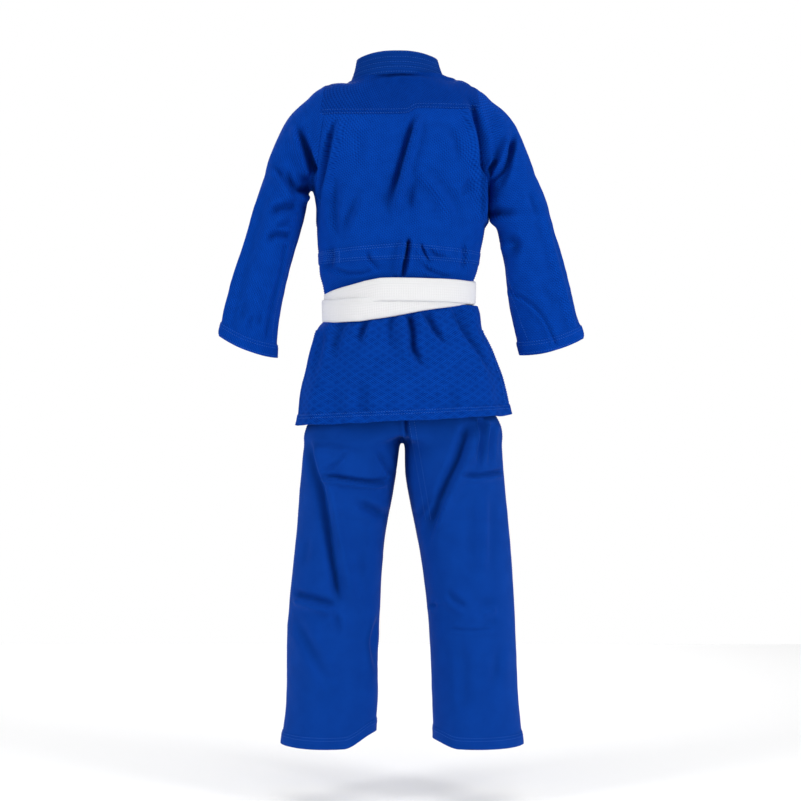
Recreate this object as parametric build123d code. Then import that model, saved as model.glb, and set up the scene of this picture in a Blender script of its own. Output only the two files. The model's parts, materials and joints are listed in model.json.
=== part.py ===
from build123d import *
import math
import os

# Child's judo uniform on an unseen wearer: a crossed jacket, a belt wound twice round the
# waist and tied in front, and trousers.  Millimetres, +Z up, the wearer faces -Y and the
# wearer's left is +X.  The origin is the centre of the waist, at the height of the belt.

# ---------------------------------------------------------------- cloth thicknesses and gaps
JACKET_CLOTH = 2.0          # rice-weave cotton
TROUSER_CLOTH = 1.6         # twill
BODY_GAP = 0.4              # between pieces that move on each other
LAYER_GAP = 0.3             # between layers that lie on each other
BIG = 2000.0                # larger than the garment, for cutting blocks

# ---------------------------------------------------------------- jacket, waist up
# height, half width, half depth, squareness of the superellipse
TORSO = [
    (-60, 127, 88, 2.0),
    (-42, 127, 88, 2.0),
    (42, 127, 88, 2.0),
    (70, 139, 96, 2.0),
    (120, 145, 102, 2.0),
    (195, 153, 104, 2.2),
    (235, 160, 102, 2.8),
    (275, 164, 97, 3.4),
    (320, 164, 84, 3.4),
    (350, 160, 72, 3.0),
    (372, 136, 63, 2.4),
    (392, 90, 56, 2.0),
    (408, 70, 50, 2.0),
]
SHOULDER_START = 340        # above this the sections also shrink downwards
TORSO_BOTTOM = -25
YOKE_BOTTOM = 336
YOKE_FRONT = -25            # the yoke wraps over the shoulder to this y
NECK_HEIGHT = 392
ARMHOLE_X = 158
WAIST_BAND = (69, 95)       # stitched reinforcement round the waist
WAIST_BAND_CLOTH = 1.5
GUSSET_CENTRE = 170
GUSSET_HALF_HEIGHT = 45
GUSSET_HALF_WIDTH = 38

# ---------------------------------------------------------------- collar band and lapels
COLLAR = [
    (392, 85, 57),
    (415, 77, 53),
    (446, 66, 49),
]
COLLAR_CLOTH = 6.0
COLLAR_FRONT = -25
COLLAR_BACK_TOP = 440       # height of the rim at the nape
COLLAR_SIDE_TOP = 426       # height of the rim above the shoulders
LAPEL_WIDTH = 44
LAPEL_CLOTH = 6.0
UNDER_LAPEL_CLOTH = 5.0
# height and x of the middle of the upper lapel, from the shoulder to the hem
LAPEL_LINE = [(396, 86), (191, 0), (0, -70), (-230, -99)]

# ---------------------------------------------------------------- jacket, below the belt
SKIRT = [
    (-10, 127, 88),
    (-42, 132, 90),
    (-56, 143, 97),
    (-97, 163, 108),
    (-142, 177, 117),
    (-165, 182, 120),
    (-210, 191, 126),
    (-230, 195, 128),
]
SKIRT_TOP = -26.5
SKIRT_BOTTOM = -210
HEM_HEIGHT = 20
HEM_EXTRA = 1.2
VENT_GAP = 3.0
FACING_WIDTH = 25
FACING_CLOTH = 1.2

# ---------------------------------------------------------------- sleeves
# centre x, centre z, slope below the horizontal in degrees, half width, half depth
SLEEVE_HEAD = [
    (157, 276, 1, 77, 61),
    (180, 257, 20, 63, 61),
    (203, 193, 52, 49, 60),
]
SLEEVE = [
    (203, 193, 52, 49, 60),
    (222, 123, 74, 46, 58),
    (236, 70, 76, 47, 56),
    (248, 19, 77, 49, 53),
    (267, -83, 75, 56, 47),
    (272, -104, 75, 57, 46),
]
CUFF_END = 5                # the sleeve ends half way between the last two sections
CUFF_HEM = 24
ELBOW_X = 234
ELBOW_Z = 78
ELBOW_SLOPE = 76.5
ELBOW_RADIUS = 84

# ---------------------------------------------------------------- belt
BELT_WIDTH = 40
BELT_CLOTH = 3.5
BELT_CENTRE_Y = -4.5
BELT_HALF_WIDTH = 131.0     # inner face of the first turn
BELT_HALF_DEPTH = 92.8
FIRST_TURN = (5.5, -0.085)  # height at the middle, and rise per millimetre of x
SECOND_TURN = (-1.8, -0.124)
KNOT_SIZE = (62, 22, 42)
KNOT_BOTTOM = -24
TAIL_LENGTH = 188
TAIL_TOP = -33
TAIL_SPLAY = 20
TAIL_LEAN = 6.2
TAIL_X = 24
TAIL_Y = -114

# ---------------------------------------------------------------- trousers
SEAT = [
    (-10, 112, 74),
    (-20, 112, 74),
    (-56, 114, 76),
    (-90, 122, 84),
    (-120, 132, 88),
    (-180, 148, 91),
    (-216, 164, 93),
    (-252, 170, 92),
]
# height, x of the middle, half width, half depth
LEG = [
    (-150, 80, 58, 75),
    (-216, 84, 79, 89),
    (-248, 86, 84, 91),
    (-295, 91.5, 86, 91),
    (-395, 106, 81, 85),
    (-515, 120, 77, 79),
    (-642, 127, 79, 72),
    (-764, 132, 82, 68),
    (-800, 133, 83, 67),
]
WAISTBAND = (-56, -20)
ELASTIC_CLOTH = 1.6
LOOP_X = 26
LEG_BOTTOM = -776
LEG_HEM = 22
HIP_Z = -248
HIP_RADIUS = 118
KNEE_X = 120
KNEE_Z = -518
KNEE_TILT = 4.9
KNEE_RADIUS = 116
PATCH_TOP = -446
PATCH_BOTTOM = -640
PATCH_CLOTH = 1.2


# ================================================================ helpers
def superellipse(half_width, half_depth, squareness=2.0):
    """Closed outline in 24 spans, an ellipse at squareness 2 and boxier above it."""
    count = 24
    points = []
    for i in range(count):
        angle = 2 * math.pi * i / count
        c = math.cos(angle)
        s = math.sin(angle)
        x = half_width * math.copysign(abs(c) ** (2 / squareness), c)
        y = half_depth * math.copysign(abs(s) ** (2 / squareness), s)
        points.append((x, y))
    steps = [i / count for i in range(count + 1)]
    return make_face(Edge.make_spline(points, periodic=True, parameters=steps))


def torso_volume(offset):
    """Everything inside the jacket's upper body, grown outwards by offset."""
    faces = []
    for z, half_width, half_depth, squareness in TORSO:
        height = z + offset if z > SHOULDER_START else z
        face = superellipse(half_width + offset, half_depth + offset, squareness)
        faces.append(Pos(0, 0, height) * face)
    return loft(faces)


def ellipse_volume(sections, offset):
    """Loft of level ellipses (height, half width, half depth), grown by offset."""
    faces = []
    for z, half_width, half_depth in sections:
        faces.append(Pos(0, 0, z) * superellipse(half_width + offset, half_depth + offset))
    return loft(faces)


def tilted_volume(sections, offset):
    """Loft of sections across a limb that bends in the XZ plane, grown by offset."""
    faces = []
    for x, z, slope, half_width, half_depth in sections:
        angle = math.radians(slope)
        along = (math.cos(angle), 0, -math.sin(angle))
        across = (math.sin(angle), 0, math.cos(angle))
        plane = Plane(origin=(x, 0, z), x_dir=across, z_dir=along)
        faces.append(plane * superellipse(half_width + offset, half_depth + offset))
    return loft(faces)


def sleeve_volume(offset):
    """Inside of the left sleeve, from the armhole to past the cuff."""
    return tilted_volume(SLEEVE_HEAD, offset) + tilted_volume(SLEEVE, offset)


def leg_volume(offset):
    """Inside of the left trouser leg."""
    faces = []
    for z, x, half_width, half_depth in LEG:
        faces.append(Pos(x, 0, z) * superellipse(half_width + offset, half_depth + offset))
    return loft(faces)


def block(x=(-BIG, BIG), y=(-BIG, BIG), z=(-BIG, BIG)):
    """Box between the given limits, for cutting."""
    size = (x[1] - x[0], y[1] - y[0], z[1] - z[0])
    middle = ((x[0] + x[1]) / 2, (y[0] + y[1]) / 2, (z[0] + z[1]) / 2)
    return Pos(*middle) * Box(*size)


def mirrored(shape):
    """The same piece on the wearer's right."""
    return mirror(shape, about=Plane.YZ)


def front_prism(outline):
    """Block in front of y = 0 with the given (x, z) outline."""
    face = make_face(Polyline(*[(x, 0, z) for x, z in outline], close=True))
    return extrude(face, amount=BIG, dir=(0, -1, 0))


def lapel_edge(side, shift):
    """Points of a lapel's edge: side +1 for the upper lapel, -1 for the lower one."""
    return [(side * (x + shift), z) for z, x in LAPEL_LINE]


def lapel_strip(side):
    inner = lapel_edge(side, -LAPEL_WIDTH / 2)
    outer = lapel_edge(side, LAPEL_WIDTH / 2)
    return front_prism(inner + outer[::-1])


def front_region(side):
    """The part of the front that lies behind a lapel, out to the side seam."""
    edge = lapel_edge(side, LAPEL_WIDTH / 2)
    top = (side * 400, edge[0][1])
    bottom = (side * 400, edge[-1][1])
    return front_prism(edge + [bottom, top])


def save(name, shape):
    export_step(Compound(children=list(shape.solids())), f"parts/{name}.step")


os.makedirs("parts", exist_ok=True)

# ================================================================ jacket, waist up
torso_core = torso_volume(0)
torso_inside = torso_volume(-JACKET_CLOTH)
torso_under = torso_volume(-UNDER_LAPEL_CLOTH)
over_inside = torso_volume(LAYER_GAP)
over_core = torso_volume(LAYER_GAP + JACKET_CLOTH)
lapel_core = torso_volume(LAYER_GAP + LAPEL_CLOTH)
band_core = torso_volume(WAIST_BAND_CLOTH)
over_band_core = torso_volume(LAYER_GAP + JACKET_CLOTH + WAIST_BAND_CLOTH)

between_armholes = block(x=(-ARMHOLE_X, ARMHOLE_X), z=(TORSO_BOTTOM, NECK_HEIGHT))
back_half = block(y=(0, BIG))
front_half = block(y=(-BIG, 0))
below_yoke = block(z=(-BIG, YOKE_BOTTOM))
under_yoke_front = block(y=(-BIG, YOKE_FRONT))

shell = (torso_core - torso_inside) & between_armholes
over_shell = (over_core - over_inside) & between_armholes


def gusset_prism():
    """Diamond seen from the side, under the left arm."""
    top = (0, GUSSET_CENTRE + GUSSET_HALF_HEIGHT)
    bottom = (0, GUSSET_CENTRE - GUSSET_HALF_HEIGHT)
    outline = [top, (GUSSET_HALF_WIDTH, GUSSET_CENTRE), bottom, (-GUSSET_HALF_WIDTH, GUSSET_CENTRE)]
    face = make_face(Polyline(*[(100, y, z) for y, z in outline], close=True))
    return extrude(face, amount=100, dir=(1, 0, 0))


gusset_cut_left = gusset_prism()
gusset_cut_right = mirrored(gusset_cut_left)
gusset_cuts = gusset_cut_left + gusset_cut_right


def fronts_below_yoke(shape):
    """Takes the yoke's share off a front piece."""
    return (shape & below_yoke) + (shape & under_yoke_front & block(z=(YOKE_BOTTOM, BIG)))


back_panel = (shell & back_half & below_yoke) - gusset_cuts
yoke = shell & block(y=(YOKE_FRONT, BIG), z=(YOKE_BOTTOM, BIG))
yoke = yoke - lapel_strip(1) - lapel_strip(-1)
front_right = fronts_below_yoke(shell & front_half & front_region(-1)) - gusset_cuts
front_left = fronts_below_yoke(over_shell & front_half & front_region(1)) - gusset_prism()
gusset_left = shell & gusset_cut_left
gusset_right = shell & gusset_cut_right
lapel_left = (lapel_core - over_inside) & between_armholes & lapel_strip(1) & front_half
lapel_right = (torso_core - torso_under) & between_armholes & lapel_strip(-1) & front_half

band_heights = block(z=WAIST_BAND)
waist_band_back = (band_core - torso_core) & band_heights & back_half
waist_band_left = (over_band_core - over_core) & band_heights & front_half & front_region(1)
beside_upper_lapel = front_prism(
    lapel_edge(1, -LAPEL_WIDTH / 2 - 2) + [(-400, LAPEL_LINE[-1][0]), (-400, LAPEL_LINE[0][0])]
)
waist_band_right = (band_core - torso_core) & band_heights & front_half & beside_upper_lapel

save("back_panel", back_panel)
save("shoulder_yoke", yoke)
save("front_panel_left", front_left)
save("front_panel_right", front_right)
save("underarm_gusset_left", gusset_left)
save("underarm_gusset_right", gusset_right)
save("lapel_left", lapel_left)
save("lapel_right", lapel_right)
save("waist_band_back", waist_band_back)
save("waist_band_front_left", waist_band_left)
save("waist_band_front_right", waist_band_right)


# ================================================================ collar band
def collar_band():
    """Stiff band standing round the neck, open in front, its rim lower at the sides."""
    ring = ellipse_volume(COLLAR, 0) - ellipse_volume(COLLAR, -COLLAR_CLOTH)
    ring = ring & block(y=(COLLAR_FRONT, BIG))
    depth = COLLAR[-1][2]
    tilt = math.degrees(math.atan2(COLLAR_BACK_TOP - COLLAR_SIDE_TOP, depth))
    above = Pos(0, 0, COLLAR_SIDE_TOP) * Rot(tilt, 0, 0) * Pos(0, 0, 200) * Box(600, 600, 400)
    return ring - above


save("collar_band", collar_band())

# ================================================================ jacket skirt
skirt_core = ellipse_volume(SKIRT, 0)
skirt_inside = ellipse_volume(SKIRT, -JACKET_CLOTH)
skirt_facing = ellipse_volume(SKIRT, -JACKET_CLOTH - FACING_CLOTH)
skirt_under = ellipse_volume(SKIRT, -UNDER_LAPEL_CLOTH)
skirt_hem = ellipse_volume(SKIRT, HEM_EXTRA)
skirt_over_inside = ellipse_volume(SKIRT, LAYER_GAP)
skirt_over_core = ellipse_volume(SKIRT, LAYER_GAP + JACKET_CLOTH)
skirt_over_hem = ellipse_volume(SKIRT, LAYER_GAP + JACKET_CLOTH + HEM_EXTRA)
skirt_lapel = ellipse_volume(SKIRT, LAYER_GAP + LAPEL_CLOTH)

HEM_TOP = SKIRT_BOTTOM + HEM_HEIGHT
cloth_heights = block(z=(HEM_TOP, SKIRT_TOP))
hem_heights = block(z=(SKIRT_BOTTOM, HEM_TOP))
skirt_heights = block(z=(SKIRT_BOTTOM, SKIRT_TOP))
behind_vent = block(y=(VENT_GAP / 2, BIG))
before_vent = block(y=(-BIG, -VENT_GAP / 2))
facing_behind = block(y=(VENT_GAP / 2, VENT_GAP / 2 + FACING_WIDTH))
facing_before = block(y=(-VENT_GAP / 2 - FACING_WIDTH, -VENT_GAP / 2))
left_side = block(x=(0, BIG))
right_side = block(x=(-BIG, 0))

skirt_shell = skirt_core - skirt_inside
skirt_over_shell = skirt_over_core - skirt_over_inside
facing_shell = skirt_inside - skirt_facing

save("back_skirt", skirt_shell & cloth_heights & behind_vent)
save("back_skirt_hem", (skirt_hem - skirt_inside) & hem_heights & behind_vent)
save("front_skirt_left", skirt_over_shell & cloth_heights & before_vent & front_region(1))
save("front_skirt_right", skirt_shell & cloth_heights & before_vent & front_region(-1))
save(
    "front_hem_left",
    (skirt_over_hem - skirt_over_inside) & hem_heights & before_vent & front_region(1),
)
save("front_hem_right", (skirt_core - skirt_facing) & hem_heights & before_vent & front_region(-1))
save("lapel_tail_left", (skirt_lapel - skirt_over_inside) & skirt_heights & lapel_strip(1))
save("lapel_tail_right", (skirt_core - skirt_under) & skirt_heights & lapel_strip(-1))
facing_heights = block(z=(HEM_TOP, SKIRT_TOP - 30))
save("vent_facing_back_left", facing_shell & facing_heights & facing_behind & left_side)
save("vent_facing_back_right", facing_shell & facing_heights & facing_behind & right_side)
save("vent_facing_front_left", facing_shell & facing_heights & facing_before & left_side)
save("vent_facing_front_right", facing_shell & facing_heights & facing_before & right_side)

# ================================================================ sleeves
elbow_angle = math.radians(ELBOW_SLOPE)
elbow_axis = (math.sin(elbow_angle), 0, math.cos(elbow_angle))


def hinge_cylinder(centre, axis, radius):
    """Round surface that two parts of a limb share, centred on their hinge."""
    return Plane(origin=centre, z_dir=axis) * Cylinder(radius, 400)


def cuff_block(distance):
    """Everything beyond a plane across the forearm, this far down from the elbow."""
    along = Vector(math.cos(elbow_angle), 0, -math.sin(elbow_angle))
    plane = Plane(origin=Vector(ELBOW_X, 0, ELBOW_Z) + along * distance, z_dir=along)
    return plane * Pos(0, 0, 200) * Box(400, 400, 400)


sleeve_core = sleeve_volume(0)
sleeve_inside = sleeve_volume(-JACKET_CLOTH)
sleeve_hem = sleeve_volume(HEM_EXTRA)
sleeve_shell = (sleeve_core - sleeve_inside) & block(x=(ARMHOLE_X + BODY_GAP, BIG))
elbow = (ELBOW_X, 0, ELBOW_Z)
SLEEVE_END = math.dist((ELBOW_X, ELBOW_Z), SLEEVE[-2][:2]) + CUFF_END
beyond_elbow = hinge_cylinder(elbow, elbow_axis, ELBOW_RADIUS) + cuff_block(0)
around_elbow = hinge_cylinder(elbow, elbow_axis, ELBOW_RADIUS + BODY_GAP) + cuff_block(0)

upper_sleeve = sleeve_shell - around_elbow
lower_sleeve = (sleeve_shell & beyond_elbow) - cuff_block(SLEEVE_END - CUFF_HEM)
cuff_hem = (sleeve_hem - sleeve_inside) & cuff_block(SLEEVE_END - CUFF_HEM)
cuff_hem = cuff_hem - cuff_block(SLEEVE_END)

for name, piece in (
    ("upper_sleeve", upper_sleeve),
    ("lower_sleeve", lower_sleeve),
    ("cuff_hem", cuff_hem),
):
    save(name + "_left", piece)
    save(name + "_right", mirrored(piece))


# ================================================================ belt
def belt_turn(layer, line):
    """One turn round the waist: its layer number and its (height, rise) line."""
    grow = layer * (BELT_CLOTH + LAYER_GAP)
    inner = Ellipse(BELT_HALF_WIDTH + grow, BELT_HALF_DEPTH + grow)
    outer = Ellipse(BELT_HALF_WIDTH + grow + BELT_CLOTH, BELT_HALF_DEPTH + grow + BELT_CLOTH)
    ring = extrude(Pos(0, BELT_CENTRE_Y, -80) * (outer - inner), amount=160)
    height, rise = line
    tilt = -math.degrees(math.atan(rise))
    slab = Pos(0, 0, height) * Rot(0, tilt, 0) * Box(600, 600, BELT_WIDTH)
    return ring & slab


def belt_knot():
    """Flat square knot resting on the second turn."""
    length, depth, height = KNOT_SIZE
    front_of_belt = BELT_CENTRE_Y - BELT_HALF_DEPTH - 2 * BELT_CLOTH - 2 * LAYER_GAP
    knot = Box(length, depth, height)
    knot = fillet(knot.edges().filter_by(Axis.X), 8)
    return Pos(0, front_of_belt - depth / 2, KNOT_BOTTOM + height / 2) * knot


def belt_tail(side):
    """Free end hanging from the knot, splayed sideways and leaning out over the skirt."""
    strip = Pos(0, 0, -TAIL_LENGTH / 2) * Box(BELT_WIDTH, BELT_CLOTH, TAIL_LENGTH)
    placed = Rot(-TAIL_LEAN, 0, 0) * Rot(0, -side * TAIL_SPLAY, 0) * strip
    return Pos(side * TAIL_X, TAIL_Y, TAIL_TOP) * placed


save("belt_first_turn", belt_turn(0, FIRST_TURN))
save("belt_second_turn", belt_turn(1, SECOND_TURN))
save("belt_knot", belt_knot())
save("belt_tail_left", belt_tail(1))
save("belt_tail_right", belt_tail(-1))


# ================================================================ trousers
def trouser_volume(offset):
    """Inside of the seat and both legs, grown outwards by offset."""
    leg = leg_volume(offset)
    return ellipse_volume(SEAT, offset) + leg + mirrored(leg)


trouser_core = trouser_volume(0)
trouser_inside = trouser_volume(-TROUSER_CLOTH)
trouser_shell = trouser_core - trouser_inside

WAIST_BOTTOM, WAIST_TOP = WAISTBAND
hips = (0, 0, HIP_Z)
hip_round = hinge_cylinder(hips, (1, 0, 0), HIP_RADIUS)
around_hips = hinge_cylinder(hips, (1, 0, 0), HIP_RADIUS + BODY_GAP)
below_hips = block(z=(-BIG, HIP_Z))

seat = (trouser_shell & block(z=(HIP_Z, WAIST_BOTTOM))) - around_hips
save("seat_front", seat & front_half)
save("seat_back", seat & back_half)

casing = ellipse_volume(SEAT, 1.0) - ellipse_volume(SEAT, -3.2)
cavity = ellipse_volume(SEAT, -0.2) - ellipse_volume(SEAT, -2.0)
casing = (casing & block(z=WAISTBAND)) - (cavity & block(z=(WAIST_BOTTOM + 3, WAIST_TOP - 3)))
elastic = ellipse_volume(SEAT, -0.3) - ellipse_volume(SEAT, -0.3 - ELASTIC_CLOTH)
save("trouser_waistband", casing)
save("waist_elastic", elastic & block(z=(WAIST_BOTTOM + 5, WAIST_TOP - 5)))


def drawstring_loop(x):
    """Flat belt loop on the front of the waistband, for the drawstring to pass through."""
    face_y = -SEAT[2][2] - 1.0
    strap = Box(9, 3.6, 10) - Box(9, 1.8, 6)
    return Pos(x, face_y + 0.6, WAIST_BOTTOM + 6) * strap


loops = drawstring_loop(LOOP_X) + drawstring_loop(-LOOP_X)
save("drawstring_loops", loops - ellipse_volume(SEAT, 1.0))

knee = (KNEE_X, 0, KNEE_Z)
knee_tilt = math.radians(KNEE_TILT)
knee_axis = (math.cos(knee_tilt), 0, math.sin(knee_tilt))
below_knee = block(z=(-BIG, KNEE_Z))
left_of_middle = block(x=(BODY_GAP / 2 + 0.1, BIG))
thigh = trouser_shell & (hip_round + below_hips) & left_of_middle
thigh = thigh - hinge_cylinder(knee, knee_axis, KNEE_RADIUS + BODY_GAP) - below_knee

HEM_LINE = LEG_BOTTOM + LEG_HEM
leg_inside = leg_volume(-TROUSER_CLOTH)
shin_round = hinge_cylinder(knee, knee_axis, KNEE_RADIUS)
shin = (leg_volume(0) - leg_inside) & (shin_round + below_knee)
shin = shin & block(z=(HEM_LINE, BIG))
leg_hem = (leg_volume(1.0) - leg_inside) & block(z=(LEG_BOTTOM, HEM_LINE))
knee_patch = (leg_volume(PATCH_CLOTH) - leg_volume(0)) & block(z=(PATCH_BOTTOM, PATCH_TOP))
knee_patch = knee_patch & block(y=(-BIG, -VENT_GAP))

for name, piece in (
    ("thigh_front", thigh & front_half),
    ("thigh_back", thigh & back_half),
    ("shin_front", shin & front_half),
    ("shin_back", shin & back_half),
    ("knee_patch", knee_patch),
    ("leg_hem", leg_hem),
):
    save(name + "_left", piece)
    save(name + "_right", mirrored(piece))
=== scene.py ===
import json
import math

import bpy
import numpy as np
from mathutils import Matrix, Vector, noise
from mathutils.bvhtree import BVHTree


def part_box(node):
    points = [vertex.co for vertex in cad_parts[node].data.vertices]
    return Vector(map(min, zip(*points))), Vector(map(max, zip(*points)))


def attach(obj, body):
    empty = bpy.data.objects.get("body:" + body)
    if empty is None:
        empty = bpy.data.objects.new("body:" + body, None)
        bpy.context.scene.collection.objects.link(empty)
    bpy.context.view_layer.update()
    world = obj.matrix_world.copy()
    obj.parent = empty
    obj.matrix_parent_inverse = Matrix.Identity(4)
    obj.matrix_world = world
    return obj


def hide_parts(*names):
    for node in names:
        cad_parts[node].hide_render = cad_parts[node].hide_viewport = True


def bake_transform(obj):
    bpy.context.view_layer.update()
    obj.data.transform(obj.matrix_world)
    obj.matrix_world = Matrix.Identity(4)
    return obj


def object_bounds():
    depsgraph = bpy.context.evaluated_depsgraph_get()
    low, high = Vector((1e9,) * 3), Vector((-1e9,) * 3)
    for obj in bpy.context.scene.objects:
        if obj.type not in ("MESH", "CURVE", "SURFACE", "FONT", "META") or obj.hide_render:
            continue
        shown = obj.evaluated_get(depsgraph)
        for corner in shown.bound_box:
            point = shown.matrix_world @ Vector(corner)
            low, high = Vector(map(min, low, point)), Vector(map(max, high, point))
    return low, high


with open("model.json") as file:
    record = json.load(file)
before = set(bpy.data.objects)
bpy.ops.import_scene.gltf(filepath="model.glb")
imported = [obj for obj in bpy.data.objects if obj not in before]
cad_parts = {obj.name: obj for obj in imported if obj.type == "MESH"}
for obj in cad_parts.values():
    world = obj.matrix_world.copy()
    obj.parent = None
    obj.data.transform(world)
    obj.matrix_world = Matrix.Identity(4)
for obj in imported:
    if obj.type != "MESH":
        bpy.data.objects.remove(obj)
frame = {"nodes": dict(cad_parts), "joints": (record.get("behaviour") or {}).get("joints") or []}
cad_low, cad_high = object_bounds()

BACK = 1.0               # the wearer's back looks along +Y
FRONT = -1.0
CLOTH = 0.0019           # thickness of the jacket's weave
TWILL = 0.0012           # thickness of the trousers' twill
MESH_STEP = 0.0032       # spacing of the cloth's points
SLEEVE_ROUND = 0.055     # radii that turn angles into distances round the cloth, for its weave
LEG_ROUND = 0.079
SEAT_ROUND = 0.125
EDGE_SLOPE = 0.003       # how far in from its edge a laid-on strip reaches its full height
SEAM_GAP = 0.004         # from a seam to the stitching beside it


# ================================================================ cloth that isn't an object yet
class Cloth:
    """Points and faces of a single layer of cloth."""

    def __init__(self, points, faces):
        self.points = np.array(points, float)
        self.faces = [list(f) for f in faces]
        self.normals = None

    def copy(self):
        twin = Cloth(self.points, self.faces)
        twin.normals = None if self.normals is None else self.normals.copy()
        return twin

    def find_normals(self):
        """Unit normals of the points, from the faces round each of them."""
        total = np.zeros_like(self.points)
        for count in set(len(f) for f in self.faces):
            group = np.array([f for f in self.faces if len(f) == count])
            corners = self.points[group]
            after = np.roll(corners, -1, axis=1)
            face_normal = np.cross(corners, after).sum(axis=1)
            for k in range(count):
                np.add.at(total, group[:, k], face_normal)
        length = np.linalg.norm(total, axis=1, keepdims=True)
        self.normals = total / np.maximum(length, 1e-12)
        return self.normals

    def clip(self, field):
        """The part where field, one value for each point, is above 0."""
        value = np.where(np.abs(field) < 1e-7, 1e-7, field)
        keep = (value > 0).tolist()
        count = len(self.points)
        cuts = {}
        faces = []
        for face in self.faces:
            inside = sum(keep[i] for i in face)
            if inside == len(face):
                faces.append(face)
            elif inside:
                outline = []
                for a, b in zip(face, face[1:] + face[:1]):
                    if keep[a]:
                        outline.append(a)
                    if keep[a] != keep[b]:
                        key = (a, b) if a < b else (b, a)
                        outline.append(cuts.setdefault(key, count + len(cuts)))
                faces.append(outline)
        points, normals = self.points, self.normals
        if cuts:
            ends = np.array(list(cuts))
            share = value[ends[:, 0]] / (value[ends[:, 0]] - value[ends[:, 1]])
            share = share[:, None]
            points = np.vstack([points, points[ends[:, 0]] * (1 - share) + points[ends[:, 1]] * share])
            if normals is not None:
                added = normals[ends[:, 0]] * (1 - share) + normals[ends[:, 1]] * share
                normals = np.vstack([normals, added])
        used = np.unique(np.concatenate([np.array(f) for f in faces]))
        place = np.full(len(points), -1)
        place[used] = np.arange(len(used))
        part = Cloth(points[used], [place[f].tolist() for f in faces])
        if normals is not None:
            part.normals = normals[used]
        return part

    def refined(self):
        """The same cloth with every square face cut into four."""
        points = self.points.tolist()
        middles = {}
        faces = []
        for face in self.faces:
            ring = []
            for a, b in zip(face, face[1:] + face[:1]):
                key = (a, b) if a < b else (b, a)
                if key not in middles:
                    middles[key] = len(points)
                    points.append([(p + q) / 2 for p, q in zip(points[a], points[b])])
                ring.append(middles[key])
            centre = len(points)
            corners = [points[i] for i in face]
            points.append([sum(c[k] for c in corners) / len(face) for k in range(3)])
            for k, corner in enumerate(face):
                faces.append([corner, ring[k], centre, ring[k - 1]])
        finer = Cloth(points, faces)
        finer.find_normals()
        return finer

    def keep(self, test):
        """The part where test(x, y, z) is above 0."""
        return self.clip(test(*self.points.T))

    def raised(self, amount):
        """The same cloth moved out along its normals."""
        twin = self.copy()
        amount = np.asarray(amount, float)
        twin.points += twin.normals * (amount[:, None] if amount.ndim else amount)
        return twin

    def area(self):
        total = 0.0
        for count in set(len(f) for f in self.faces):
            corners = self.points[np.array([f for f in self.faces if len(f) == count])]
            doubled = np.cross(corners, np.roll(corners, -1, axis=1)).sum(axis=1)
            total += np.linalg.norm(doubled, axis=1).sum()
        return total / 2


def smoothstep(low, high, value):
    t = np.clip((value - low) / (high - low), 0, 1)
    return t * t * (3 - 2 * t)


def joint(name):
    return next(j for j in frame["joints"] if j["name"] == name)


# ================================================================ shapes read from the frame
def node_tree(*names):
    """Surfaces of some CAD nodes, for finding where a ray meets them."""
    points, faces = [], []
    for name in names:
        mesh = frame["nodes"][name].data
        first = len(points)
        points += [v.co.copy() for v in mesh.vertices]
        faces += [[first + i for i in p.vertices] for p in mesh.polygons]
    return BVHTree.FromPolygons(points, faces)


def outer_radius(tree, centre, direction, reach=0.30):
    """Distance from centre to the outermost surface in a direction, or None."""
    start = centre + direction * reach
    hit, _, _, distance = tree.ray_cast(start, -direction, reach)
    return None if hit is None else reach - distance


def ring_radii(tree, centre, across, depth, around, mirror_too=False):
    """Radii of a ring of points, with the gaps filled in from their neighbours."""
    radii = []
    for i in range(around):
        angle = 2 * math.pi * i / around
        direction = across * math.sin(angle) + depth * math.cos(angle)
        found = outer_radius(tree, centre, direction)
        if found is None and mirror_too:
            direction = -across * math.sin(angle) + depth * math.cos(angle)
            found = outer_radius(tree, centre, direction)
        radii.append(found)
    known = [i for i, r in enumerate(radii) if r is not None]
    if not known:
        return None
    spread = [i + shift for shift in (-around, 0, around) for i in known]
    values = [radii[i] for i in known] * 3
    return np.interp(np.arange(around), spread, values)


def tube(centres, frames, radii):
    """Rings of points joined into a closed tube, capped at both ends."""
    around = len(radii[0])
    points, faces = [], []
    for centre, (across, depth), ring in zip(centres, frames, radii):
        for i in range(around):
            angle = 2 * math.pi * i / around
            points.append(centre + (across * math.sin(angle) + depth * math.cos(angle)) * ring[i])
    for row in range(len(centres) - 1):
        for i in range(around):
            j = (i + 1) % around
            a, b = row * around, (row + 1) * around
            faces.append([a + i, a + j, b + j, b + i])
    for row in (0, len(centres) - 1):
        points.append(centres[row])
        middle = len(points) - 1
        for i in range(around):
            faces.append([row * around + i, row * around + (i + 1) % around, middle])
    return [Vector(p) for p in points], faces


def merged(tubes, step, smooth_rounds):
    """One smooth skin round several overlapping closed tubes, as a Cloth."""
    points, faces = [], []
    for tube_points, tube_faces in tubes:
        first = len(points)
        points += tube_points
        faces += [[first + i for i in f] for f in tube_faces]
    mesh = bpy.data.meshes.new("merge")
    mesh.from_pydata(points, [], faces)
    mesh.update()
    body = bpy.data.objects.new("merge", mesh)
    bpy.context.scene.collection.objects.link(body)
    remesh = body.modifiers.new("remesh", "REMESH")
    remesh.mode = "VOXEL"
    remesh.voxel_size = step
    smooth = body.modifiers.new("smooth", "SMOOTH")
    smooth.factor = 0.5
    smooth.iterations = smooth_rounds
    depsgraph = bpy.context.evaluated_depsgraph_get()
    result = bpy.data.meshes.new_from_object(body.evaluated_get(depsgraph))
    cloth = Cloth([v.co[:] for v in result.vertices], [list(p.vertices) for p in result.polygons])
    bpy.data.objects.remove(body)
    bpy.data.meshes.remove(result)
    if (cloth.find_normals() * (cloth.points - cloth.points.mean(axis=0))).sum() < 0:
        cloth.faces = [f[::-1] for f in cloth.faces]
        cloth.find_normals()
    return cloth


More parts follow.
